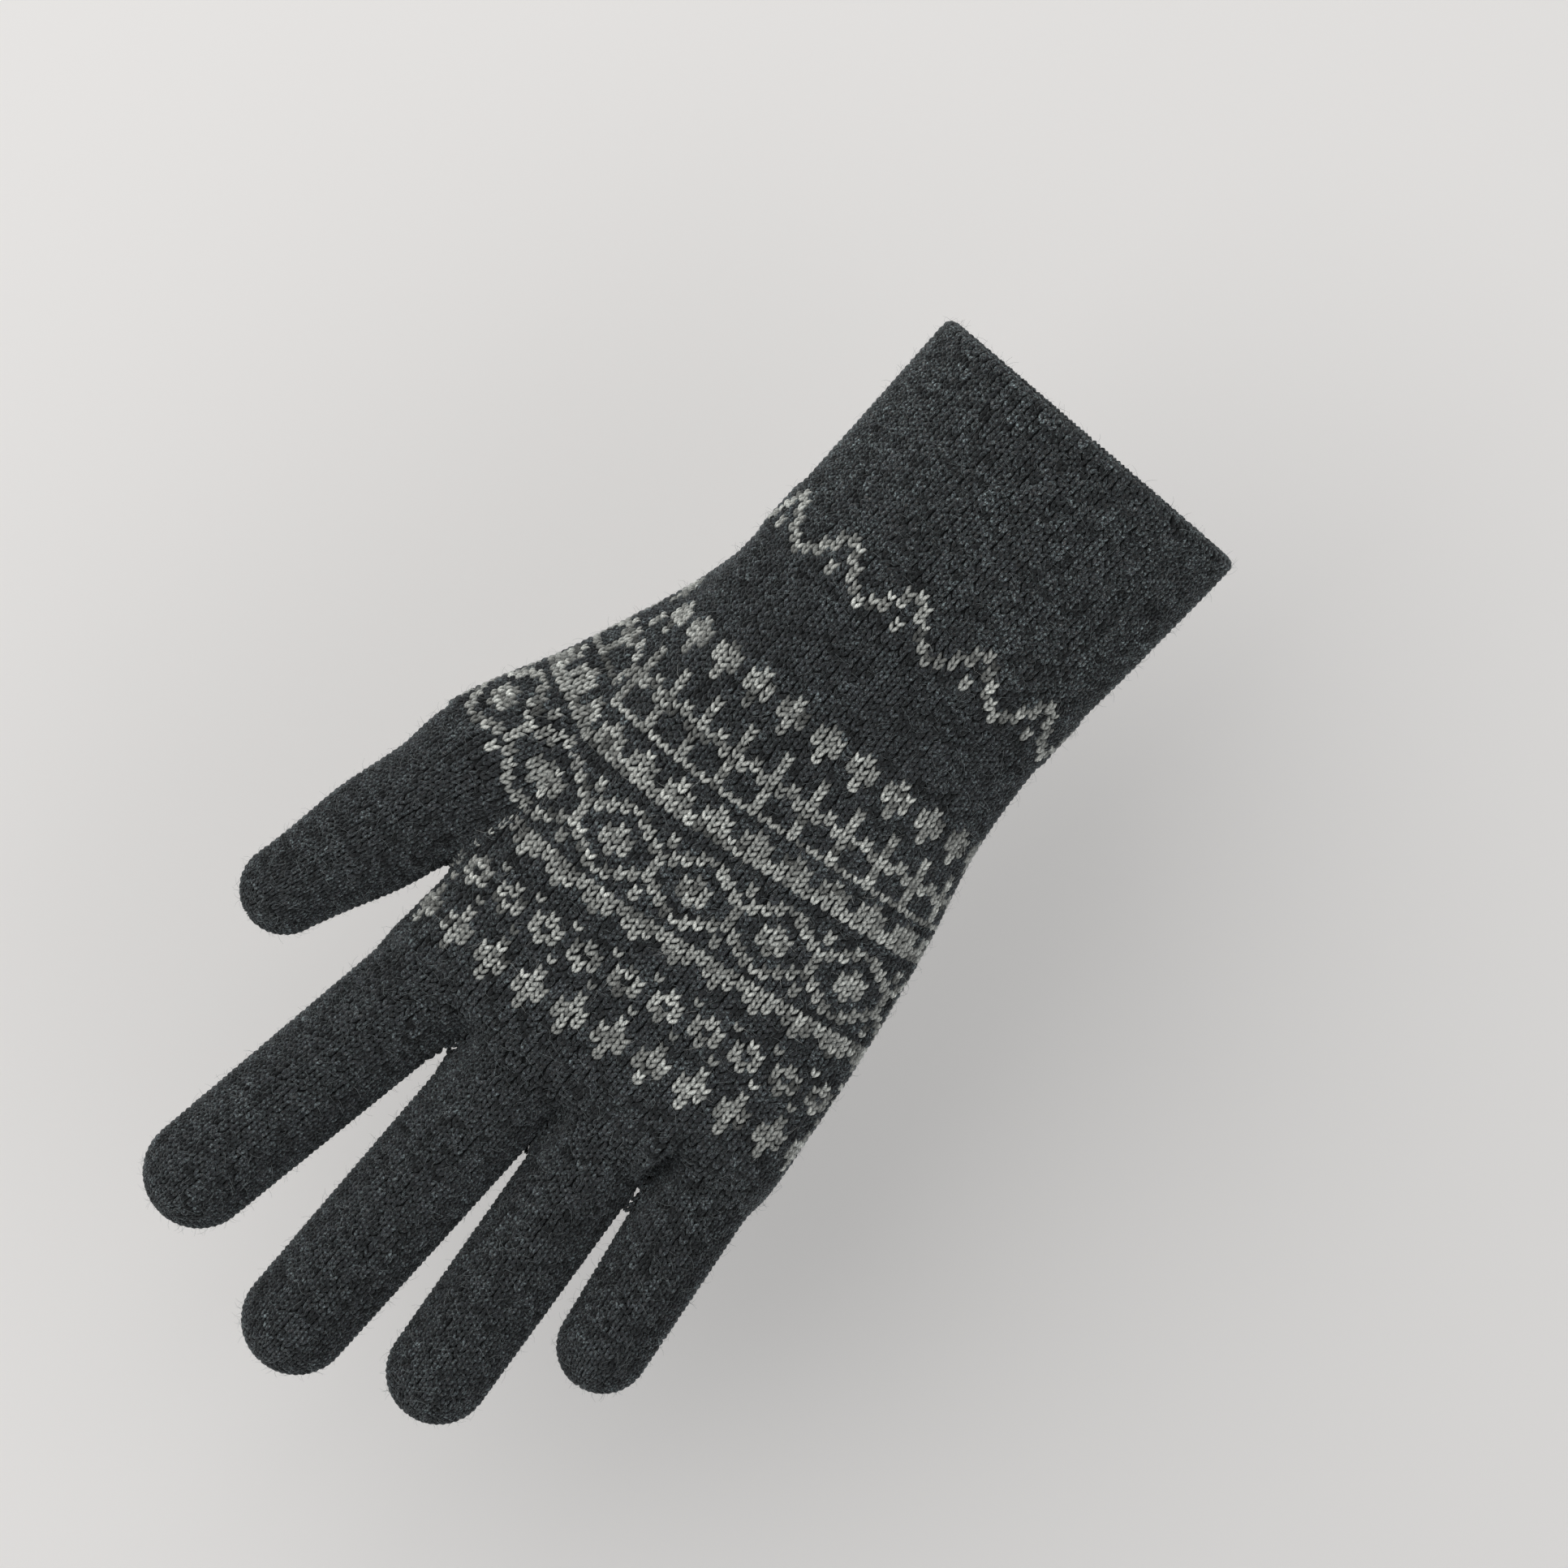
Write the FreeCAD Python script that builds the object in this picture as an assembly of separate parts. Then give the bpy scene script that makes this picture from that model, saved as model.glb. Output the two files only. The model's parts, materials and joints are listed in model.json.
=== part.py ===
import FreeCAD, Part
import math
import os

# A patterned knitted glove, drawn filled out as if worn and lying palm down.
# +Y points from the cuff to the fingertips, +X to the thumb side, +Z to the back of the hand.
# The origin is on the table plane, in the middle of the flat patch that the palm rests on.
# Distances along the glove are counted from the open mouth of the cuff until the last step.

# ---- driving sizes, in millimetres and degrees ----
knit_thickness = 2.0
body_length = 171.3
rest_distance = 108.0
wrist_distance = 58.0
palm_width = 90.8
palm_depth = 30.0
mouth_width = 75.6
mouth_depth = 52.0
wrist_width = 73.5
wrist_depth = 48.5

hem_to_wrist = 12.0
seam_width = 2.2
seam_depth = 1.4
lip_rounding = 1.7

knuckle_gap = 0.7
wrist_bend = 25.0
finger_root_bend = 60.0
finger_root_lift = 10.0
finger_middle_bend = 85.0
finger_tip_bend = 51.0
thumb_root_bend = 40.0
thumb_tip_bend = 50.0
bend_margin = 1.5

finger_root_length = 5.0
middle_knuckle_share = 0.345
tip_knuckle_share = 0.665
axis_drop_share = 0.55

gusset_lean = 21.9
thumb_lean = 18.0
thumb_length = 56.5
thumb_overlap = 2.5
thumb_root_length = 13.5
thumb_tip_share = 0.60
gusset_to_wrist = 15.0

drawn_tip_radius = 4.2
drawn_tip_rise = 0.5

# ---- sizes that follow from the ones above ----
hem_height = wrist_distance - hem_to_wrist
palm_middle = -4.1
palm_left = palm_middle - palm_width / 2
floor_bite = 0.6
cut_reach = 70.0
little_step = 8.3
thumb_root_radius = 0.151 * palm_width
thumb_tip_radius = 0.101 * palm_width
thumb_height = thumb_root_radius + 0.3
gusset_end_x = palm_middle + 0.592 * palm_width
gusset_end_y = body_length - 40.8
gusset_length = (gusset_end_y - wrist_distance - gusset_to_wrist) / math.cos(math.radians(gusset_lean))


def finger(name, across, lean, length, root_share, tip_share, setback):
    """Where one finger tube starts, which way it points, how long and how wide it is."""
    root_radius = root_share * palm_width
    return {
        "name": name,
        "x": palm_left + across * palm_width,
        "y": body_length - setback,
        "z": root_radius + 0.4,
        "lean": lean,
        "length": length,
        "root_radius": root_radius,
        "tip_radius": tip_share * palm_width,
    }


fingers = [
    finger("index", 0.8760, 9.6, 71.5, 0.1320, 0.1250, 0.0),
    finger("middle", 0.6000, 0.5, 80.2, 0.1330, 0.1230, 0.0),
    finger("ring", 0.3490, -5.2, 69.2, 0.1210, 0.1165, 0.0),
    finger("little", 0.1160, -8.5, 50.8, 0.1150, 0.1040, little_step),
]


def on_hand(share):
    """The distance from the mouth that lies the given share of the way from wrist to fingers."""
    return wrist_distance + share * (body_length - wrist_distance)


def body_sections(inset):
    """The cross-sections of the cuff and hand, from the mouth to the finger roots.

    Each is (distance from the mouth, middle, half width, low point, high point, squareness).
    """
    half_palm = palm_width / 2
    rows = [
        (-8.0, -0.2, mouth_width / 2, 0.4, mouth_depth + 1.0, 2.15),
        (0.0, 0.0, mouth_width / 2, 0.4, mouth_depth, 2.15),
        (0.48 * wrist_distance, 1.0, mouth_width / 2 - 0.6, 0.5, mouth_depth - 1.0, 2.15),
        (wrist_distance, 2.2, wrist_width / 2, 0.7, wrist_depth, 2.2),
        (on_hand(0.176), 1.8, 0.5 * wrist_width + 1.4, -0.1, wrist_depth - 3.6, 2.3),
        (on_hand(0.3725), -0.4, 0.91 * half_palm, -floor_bite, palm_depth + 9.5, 2.45),
        (on_hand(0.5765), -2.4, 0.96 * half_palm, -floor_bite, palm_depth + 4.5, 2.6),
        (on_hand(0.796), palm_middle + 0.3, half_palm - 0.2, -floor_bite, palm_depth, 2.9),
        (body_length, palm_middle, half_palm, 0.0, palm_depth - 4.0, 3.2),
    ]
    out = []
    for along, middle, half_width, low, high, square in rows:
        lift = 0.0
        if inset > 0 and low < 0:
            lift = -low
        out.append((along, middle, half_width - inset, low + lift + inset, high - inset, square))
    return out


def section_wire(along, middle, half_width, low, high, square):
    """One closed rounded outline across the glove."""
    centre = (low + high) / 2
    half_height = (high - low) / 2
    points = []
    count = 28
    for step in range(count):
        angle = 2 * math.pi * step / count
        c = math.cos(angle)
        s = math.sin(angle)
        x = middle + half_width * math.copysign(abs(c) ** (2 / square), c)
        z = centre + half_height * math.copysign(abs(s) ** (2 / square), s)
        points.append(FreeCAD.Vector(x, along, z))
    curve = Part.BSplineCurve()
    curve.interpolate(Points=points, PeriodicFlag=True)
    return Part.Wire([curve.toShape()])


def body_solid(inset):
    """The whole cuff and hand as one filled shape, pulled in by the inset all round."""
    wires = [section_wire(*row) for row in body_sections(inset)]
    return Part.makeLoft(wires, True, False)


def slab(y_low, y_high):
    """Everything between two distances from the mouth."""
    size = 400.0
    corner = FreeCAD.Vector(-size / 2, y_low, -size / 2)
    return Part.makeBox(size, y_high - y_low, size, corner)


def prism(points, reach):
    """A block with the given outline in the Y-Z plane, reaching both ways along X."""
    corners = [FreeCAD.Vector(-reach, y, z) for y, z in points]
    face = Part.Face(Part.makePolygon(corners + [corners[0]]))
    return face.extrude(FreeCAD.Vector(2 * reach, 0, 0))


def knuckle_cut(bend, lift, side, reach):
    """What to take off a tube end at a hinge on the X axis, so that it can fold.

    side is -1 for the piece nearer the cuff and +1 for the piece nearer the fingertip.
    """
    low = math.tan(math.radians(bend / 2 + bend_margin))
    high = 0.0
    if lift > 0:
        high = math.tan(math.radians(lift / 2 + bend_margin))
    near = side * knuckle_gap / 2
    far = -side * 4 * reach
    outline = [
        (near, 0.0),
        (near + side * reach * high, reach),
        (far, reach),
        (far, -reach),
        (near + side * reach * low, -reach),
    ]
    return prism(outline, reach)


def place(shape, x, y, z, lean):
    """Turns a shape drawn along +Y to its lean towards the thumb side and moves it."""
    moved = shape.copy()
    moved.rotate(FreeCAD.Vector(0, 0, 0), FreeCAD.Vector(0, 0, 1), -lean)
    moved.translate(FreeCAD.Vector(x, y, z))
    return moved


def tube_profile(start, length, radius_at, inset):
    """A filled round finger shape along +Y with a rounded end, pulled in by the inset."""
    tip_radius = radius_at(length)
    shoulder = length - tip_radius
    r_start = radius_at(start) - inset
    r_end = tip_radius - inset
    a = FreeCAD.Vector(0, start, 0)
    b = FreeCAD.Vector(r_start, start, 0)
    c = FreeCAD.Vector(r_end, shoulder, 0)
    half = math.sqrt(0.5)
    middle = FreeCAD.Vector(r_end * half, shoulder + r_end * half, 0)
    end = FreeCAD.Vector(0, shoulder + r_end, 0)
    edges = [
        Part.makeLine(a, b),
        Part.makeLine(b, c),
        Part.Arc(c, middle, end).toShape(),
        Part.makeLine(end, a),
    ]
    face = Part.Face(Part.Wire(edges))
    return face.revolve(FreeCAD.Vector(0, 0, 0), FreeCAD.Vector(0, 1, 0), 360)


def radius_rule(root_radius, tip_radius, length):
    """How the tube narrows from its root to its rounded end."""
    slope = (tip_radius - root_radius) / (length - tip_radius)

    def radius_at(along):
        if along >= length - tip_radius:
            return tip_radius
        return root_radius + slope * along

    return radius_at


def at_hinge(cut, along, drop):
    """Moves a knuckle cut to its hinge, the given distance along and below the tube's middle."""
    moved = cut.copy()
    moved.translate(FreeCAD.Vector(0, along, -drop))
    return moved


def finger_hinges(f):
    """Distance along the tube, drop below its middle, bend and lift of each knuckle."""
    radius_at = radius_rule(f["root_radius"], f["tip_radius"], f["length"])
    free = f["length"] - finger_root_length
    spots = [
        (finger_root_length, finger_root_bend, finger_root_lift),
        (finger_root_length + middle_knuckle_share * free, finger_middle_bend, 0.0),
        (finger_root_length + tip_knuckle_share * free, finger_tip_bend, 0.0),
    ]
    return [(at, axis_drop_share * radius_at(at), bend, lift) for at, bend, lift in spots]


def thumb_hinges(radius_at):
    """Distance along the thumb, drop below its middle, bend and lift of each knuckle."""
    spots = [
        (thumb_root_length, thumb_root_bend),
        (thumb_root_length + (1 - thumb_tip_share) * (thumb_length - thumb_root_length), thumb_tip_bend),
    ]
    return [(at, axis_drop_share * radius_at(at), bend, 0.0) for at, bend in spots]


def knuckled(shell, before, after):
    """Cuts a tube free of the piece behind it and the piece in front of it."""
    out = shell
    reach = 45.0
    if before:
        at, drop, bend, lift = before
        out = out.cut(at_hinge(knuckle_cut(bend, lift, 1, reach), at, drop))
    if after:
        at, drop, bend, lift = after
        out = out.cut(at_hinge(knuckle_cut(bend, lift, -1, reach), at, drop))
    return out


def drawn_tip(length, tip_radius):
    """The last stitches drawn together in a small raised button at the very end."""
    shoulder = length - tip_radius
    ball = Part.makeSphere(tip_radius + drawn_tip_rise, FreeCAD.Vector(0, shoulder, 0))
    inside = Part.makeSphere(tip_radius - knit_thickness, FreeCAD.Vector(0, shoulder, 0))
    start = FreeCAD.Vector(0, shoulder, 0)
    core = Part.makeCylinder(drawn_tip_radius, length, start, FreeCAD.Vector(0, 1, 0))
    return ball.cut(inside).common(core)


def tip_hole(length):
    """Where the drawn tip sits in the end of a tube."""
    start = FreeCAD.Vector(0, length / 2, 0)
    return Part.makeCylinder(drawn_tip_radius, length, start, FreeCAD.Vector(0, 1, 0))


def finger_pieces(f):
    """The base, middle and tip sections of one finger tube, and its drawn end."""
    radius_at = radius_rule(f["root_radius"], f["tip_radius"], f["length"])
    solid = tube_profile(0.0, f["length"], radius_at, 0.0)
    bore = tube_profile(-1.0, f["length"], radius_at, knit_thickness)
    shell = solid.cut(bore)
    root, middle, tip = finger_hinges(f)
    pieces = {
        "base": knuckled(shell, root, middle),
        "middle": knuckled(shell, middle, tip),
        "tip": knuckled(shell, tip, None).cut(tip_hole(f["length"])),
        "drawn_tip": drawn_tip(f["length"], f["tip_radius"]),
    }
    spot = (f["x"], f["y"], f["z"], f["lean"])
    return {f["name"] + "_" + key: place(shape, *spot) for key, shape in pieces.items()}


def finger_stub(f, inset, back):
    """The short root of a finger that belongs to the hand, as a filled shape."""
    radius_at = radius_rule(f["root_radius"], f["tip_radius"], f["length"])
    stub = tube_profile(-back, f["length"], radius_at, inset)
    if inset == 0:
        stub = knuckled(stub, None, finger_hinges(f)[0])
    else:
        end = FreeCAD.Vector(-40, finger_root_length + 6, -40)
        stub = stub.cut(Part.makeBox(80, f["length"], 80, end))
    return place(stub, f["x"], f["y"], f["z"], f["lean"])


def thumb_radius():
    """How the thumb tube narrows."""
    return radius_rule(thumb_root_radius, thumb_tip_radius, thumb_length)


def thumb_place(shape):
    """Puts a shape drawn along +Y on the thumb's line, starting where the gusset ends."""
    return place(shape, gusset_end_x, gusset_end_y, thumb_height, thumb_lean)


def gusset_place(shape):
    """Puts a shape drawn along +Y on the gusset's line, which leans out more than the thumb."""
    return place(shape, gusset_end_x, gusset_end_y, thumb_height, gusset_lean)


def gusset_core(inset, ahead):
    """The round tube under the thumb gusset, filled, from inside the hand to the thumb."""
    start = FreeCAD.Vector(0, -gusset_length, 0)
    way = FreeCAD.Vector(0, 1, 0)
    core = Part.makeCylinder(thumb_root_radius - inset, gusset_length + ahead, start, way)
    return gusset_place(core)


def thumb_tube(inset):
    """The whole thumb tube, filled, reaching back into the gusset, not yet moved to its place."""
    return tube_profile(-thumb_overlap - inset, thumb_length, thumb_radius(), inset)


def wrist_cut(side):
    """The wedge taken out at the wrist on both the palm and the back, so that it can bend."""
    height = wrist_depth / 2
    cut = knuckle_cut(wrist_bend, wrist_bend, side, cut_reach)
    cut.translate(FreeCAD.Vector(0, wrist_distance, height))
    return cut


def rounded_mouth(shell, inner_edge):
    """Rounds the folded edge of the cuff, outside on one layer and inside on the other."""
    mouth = [e for e in shell.Edges if abs(e.BoundBox.YMin) < 1e-4 and e.BoundBox.YMax < 1e-4]
    mouth.sort(key=lambda e: e.Length)
    edge = mouth[0] if inner_edge else mouth[-1]
    return shell.makeFillet(lip_rounding, [edge])


def cuff_pieces():
    """The outer layer, the turned-in layer and the seam that links its edge to the wrist."""
    outside = body_solid(0.0)
    between = body_solid(knit_thickness)
    inside = body_solid(2 * knit_thickness)
    seam_inside = body_solid(knit_thickness + seam_depth)
    outer = outside.cut(between).common(slab(0.0, body_length / 2)).cut(wrist_cut(-1))
    inner = between.cut(inside).common(slab(0.0, hem_height))
    seam = between.cut(seam_inside).common(slab(hem_height, hem_height + seam_width))
    return {
        "cuff_outer_layer": rounded_mouth(outer, False),
        "cuff_inner_layer": rounded_mouth(inner, True),
        "cuff_hem_seam": seam,
    }


def little_corner(grow):
    """The block missing beside the ring finger, because the little finger starts lower."""
    little = fingers[3]
    ring = fingers[2]
    edge = (little["x"] + little["root_radius"] + ring["x"] - ring["root_radius"]) / 2 + grow
    low = FreeCAD.Vector(edge - 100, body_length - little_step - grow, -50)
    return Part.makeBox(100, 100, 150, low)


def hand_pieces():
    """The hand tube with its finger roots, the thumb gusset and the fixed root of the thumb."""
    outside = body_solid(0.0).common(slab(0.0, body_length)).cut(little_corner(0.0))
    hollow = body_solid(knit_thickness).common(slab(-5.0, body_length - knit_thickness))
    hollow = hollow.cut(little_corner(knit_thickness))
    hand = outside
    for f in fingers:
        hand = hand.fuse(finger_stub(f, 0.0, 4.0))
    body = hand
    for f in fingers:
        hollow = hollow.fuse(finger_stub(f, knit_thickness, 4.0 + knit_thickness))
    hand = hand.cut(hollow)

    tube = thumb_place(thumb_tube(0.0))
    bore = thumb_place(thumb_tube(knit_thickness))
    gusset_bore = gusset_core(knit_thickness, 1.0)
    hand = hand.cut(gusset_bore).cut(bore).cut(wrist_cut(1))
    table = Part.makeBox(400, 400, 50, FreeCAD.Vector(-200, -100, -50))
    hand = hand.cut(table)

    gusset = gusset_core(0.0, 0.0).cut(gusset_bore).cut(body)
    root_tube = thumb_tube(0.0).cut(thumb_tube(knit_thickness))
    root_tube = knuckled(root_tube, None, thumb_hinges(thumb_radius())[0])
    root = thumb_place(root_tube).cut(gusset_core(0.0, 0.0)).cut(bore).cut(body)
    return {
        "hand_tube": hand.removeSplitter(),
        "thumb_gusset": biggest(gusset),
        "thumb_root": biggest(root),
    }


def biggest(shape):
    """The largest solid of a cut, leaving out crumbs inside the hand."""
    return max(shape.Solids, key=lambda s: s.Volume)


def thumb_pieces():
    """The two moving sections of the thumb tube and its drawn end."""
    shell = thumb_tube(0.0).cut(thumb_tube(knit_thickness))
    root, tip = thumb_hinges(thumb_radius())
    pieces = {
        "thumb_base": knuckled(shell, root, tip),
        "thumb_tip": knuckled(shell, tip, None).cut(tip_hole(thumb_length)),
        "thumb_drawn_tip": drawn_tip(thumb_length, thumb_tip_radius),
    }
    return {name: thumb_place(shape) for name, shape in pieces.items()}


def main():
    """Builds every piece and writes one file for each."""
    os.makedirs("parts", exist_ok=True)
    pieces = {}
    pieces.update(cuff_pieces())
    pieces.update(hand_pieces())
    for f in fingers:
        pieces.update(finger_pieces(f))
    pieces.update(thumb_pieces())
    for name, shape in pieces.items():
        solids = shape.Solids
        if len(solids) == 1:
            shape = solids[0]
        shape = shape.copy()
        shape.translate(FreeCAD.Vector(0, -rest_distance, 0))
        shape.exportStep("parts/" + name + ".step")
        box = shape.BoundBox
        print(name, len(solids), "solid, valid", shape.isValid(), "volume", round(shape.Volume),
              "x", round(box.XMin, 1), round(box.XMax, 1), "y", round(box.YMin, 1), round(box.YMax, 1),
              "z", round(box.ZMin, 2), round(box.ZMax, 1))


main()
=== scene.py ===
import json
import logging
import math
from dataclasses import dataclass, field
from enum import Enum
from typing import Callable

import bpy
import numpy as np
from mathutils import Matrix, Vector


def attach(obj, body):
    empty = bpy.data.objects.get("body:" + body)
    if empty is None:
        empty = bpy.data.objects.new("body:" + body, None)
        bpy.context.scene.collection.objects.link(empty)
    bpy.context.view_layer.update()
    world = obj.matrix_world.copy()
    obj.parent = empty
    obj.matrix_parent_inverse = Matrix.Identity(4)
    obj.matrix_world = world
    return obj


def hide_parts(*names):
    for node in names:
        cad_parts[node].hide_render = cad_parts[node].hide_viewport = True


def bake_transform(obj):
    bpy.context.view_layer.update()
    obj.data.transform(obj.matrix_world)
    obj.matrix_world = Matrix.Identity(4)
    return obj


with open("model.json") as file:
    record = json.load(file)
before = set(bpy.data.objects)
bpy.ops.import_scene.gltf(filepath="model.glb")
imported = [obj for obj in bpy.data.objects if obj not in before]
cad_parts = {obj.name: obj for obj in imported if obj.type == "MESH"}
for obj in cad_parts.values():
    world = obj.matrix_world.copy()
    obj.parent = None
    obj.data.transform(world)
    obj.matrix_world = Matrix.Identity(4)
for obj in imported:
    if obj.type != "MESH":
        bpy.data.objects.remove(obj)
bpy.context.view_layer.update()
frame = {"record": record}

MM = 0.001
SEED = 20
FIBRE_FORMS = 6
log = logging.getLogger("glove")
Array = np.ndarray


class Yarn(Enum):
    """The two yarns of the glove."""

    CHARCOAL = "dark_fibre"
    PALE = "pale_fibre"


class Wool(Enum):
    """How the yarn is knitted up in each part of the glove."""

    PLAIN = "charcoal_wool"
    CUFF = "heathered_wool"
    HAND = "two_colour_wool"


class Slot(Enum):
    """The part's material slots."""

    PLAIN = "plain_knit"
    CUFF = "cuff_knit"
    PATTERNED = "patterned_knit"
    SEAM = "seam_yarn"


# ------------------------------------------------------------------ shape helpers


def smooth_union(a: Array, b: Array, reach: float) -> Array:
    """Joins two distance fields with a soft fillet.

    Args:
        a: distances to the first shape, in millimetres.
        b: distances to the second shape.
        reach: how far from the meeting line the fillet goes.

    Returns:
        Distances to the joined shape.
    """
    h = np.clip(0.5 + 0.5 * (b - a) / reach, 0.0, 1.0)
    return b * (1 - h) + a * h - reach * h * (1 - h)


def smooth_cut(a: Array, b: Array, reach: float) -> Array:
    """The overlap of two distance fields, rounded where they meet."""
    return -smooth_union(-a, -b, reach)


def smooth_step(x: Array) -> Array:
    """0 below 0, 1 above 1 and smooth between."""
    t = np.clip(x, 0.0, 1.0)
    return t * t * (3 - 2 * t)


def unit(v: Array) -> Array:
    """Rows of v scaled to length 1."""
    return v / np.maximum(np.linalg.norm(v, axis=-1, keepdims=True), 1e-9)


def pitch(ring: Array) -> Array:
    """How much of a closed ring each of its points takes up."""
    return np.linalg.norm(np.roll(ring, -1, axis=0) - np.roll(ring, 1, axis=0), axis=1) / 2


@dataclass(frozen=True)
class Gauge:
    """Size of one stitch in millimetres."""

    wale: float = 2.2
    course: float = 1.45


@dataclass
class BodyShape:
    """The cuff and hand as one rounded tube. Distances run from the mouth, in millimetres."""

    length: float = 171.3
    wrist: float = 58.0
    palm_width: float = 90.8
    palm_depth: float = 30.0
    mouth_width: float = 75.6
    mouth_depth: float = 52.0
    wrist_width: float = 73.5
    wrist_depth: float = 48.5
    little_step: float = 8.3
    step_at: float = -28.6
    end_round: float = 7.0
    band_swell: float = 0.5

    def __post_init__(self) -> None:
        """Lays out the cross-sections from the mouth to the fingers."""
        half = self.palm_width / 2
        rows = [
            (-8.0, -0.2, self.mouth_width / 2, 0.4, self.mouth_depth + 1.0, 2.15),
            (0.0, 0.0, self.mouth_width / 2, 0.4, self.mouth_depth, 2.15),
            (0.48 * self.wrist, 1.0, self.mouth_width / 2 - 0.6, 0.5, self.mouth_depth - 1.0, 2.15),
            (self.wrist, 2.2, self.wrist_width / 2, 0.7, self.wrist_depth, 2.2),
            (self.on_hand(0.176), 1.8, 0.5 * self.wrist_width + 1.4, 0.0, self.wrist_depth - 3.6, 2.3),
            (self.on_hand(0.3725), -0.4, 0.91 * half, 0.0, self.palm_depth + 9.5, 2.45),
            (self.on_hand(0.5765), -2.4, 0.96 * half, 0.0, self.palm_depth + 4.5, 2.6),
            (self.on_hand(0.796), -3.8, half - 0.2, 0.0, self.palm_depth, 2.9),
            (self.length, -4.1, half, 0.0, self.palm_depth - 4.0, 3.2),
            (self.length + 12, -4.1, half, 0.0, self.palm_depth - 5.0, 3.2),
        ]
        self.table = np.array(rows)
        self.slopes = np.gradient(self.table[:, 1:], self.table[:, 0], axis=0)

    def on_hand(self, share: float) -> float:
        """The distance that lies the given share of the way from the wrist to the fingers."""
        return self.wrist + share * (self.length - self.wrist)

    def section(self, along: Array) -> tuple[Array, Array, Array, Array, Array]:
        """The cross-section at each distance from the mouth.

        Args:
            along: distances from the mouth.

        Returns:
            Middle, half width, centre height, half height and squareness.
        """
        y = np.clip(along, self.table[0, 0], self.table[-1, 0] - 1e-6)
        at = np.searchsorted(self.table[:, 0], y, side="right") - 1
        y0, y1 = self.table[at, 0], self.table[at + 1, 0]
        h = (y1 - y0)[:, None]
        t = ((y - y0) / (y1 - y0))[:, None]
        p0, p1 = self.table[at, 1:], self.table[at + 1, 1:]
        m0, m1 = self.slopes[at], self.slopes[at + 1]
        v = (
            (2 * t**3 - 3 * t**2 + 1) * p0
            + (t**3 - 2 * t**2 + t) * h * m0
            + (-2 * t**3 + 3 * t**2) * p1
            + (t**3 - t**2) * h * m1
        )
        swell = self.band_swell * smooth_step((y - 43) / 3) * smooth_step((58 - y) / 3)
        low, high = v[:, 2], v[:, 3]
        return v[:, 0], v[:, 1] + swell, (low + high) / 2, (high - low) / 2 + swell, v[:, 4]

    def end(self, x: Array) -> Array:
        """How far the hand reaches before the fingers, which is less on the little finger's side."""
        return self.length - self.little_step * smooth_step((self.step_at + 1.5 - x) / 3.0)

    def ring(self, along: float, inset: float, count: int) -> Array:
        """Points spaced evenly round the tube, starting under the thumb side.

        Args:
            along: distance from the mouth.
            inset: how far inside the outer surface.
            count: how many points.

        Returns:
            count rows of x, y, z.
        """
        m, a, c, b, n = (float(v[0]) for v in self.section(np.array([along])))
        fine = 720
        angle = np.linspace(0, 2 * np.pi, fine, endpoint=False)
        co, si = np.cos(angle), np.sin(angle)
        x = m + (a - inset) * np.sign(co) * np.abs(co) ** (2 / n)
        z = c + (b - inset) * np.sign(si) * np.abs(si) ** (2 / n)
        step = np.hypot(np.diff(x, append=x[0]), np.diff(z, append=z[0]))
        reached = np.concatenate([[0], np.cumsum(step)])
        want = (np.arange(count) + 0.5) / count * reached[-1]
        px = np.interp(want, reached, np.append(x, x[0]))
        pz = np.interp(want, reached, np.append(z, z[0]))
        return np.stack([px, np.full(count, along), pz], axis=1)

    def distance(self, p: Array) -> Array:
        """Distance from each point to the outer surface, negative inside.

        Args:
            p: rows of x, y, z.

        Returns:
            One distance for each row.
        """
        m, a, c, b, n = self.section(p[:, 1])
        dx, dz = np.abs(p[:, 0] - m), np.abs(p[:, 2] - c)
        q = np.maximum(((dx / a) ** n + (dz / b) ** n) ** (1 / n), 1e-3)
        gx = (dx / a) ** (n - 1) / a
        gz = (dz / b) ** (n - 1) / b
        slope = np.maximum(np.hypot(gx, gz) * q ** (1 - n), 1e-4)
        side = (q - 1) / slope
        return smooth_cut(side, p[:, 1] - self.end(p[:, 0]), self.end_round)


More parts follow.
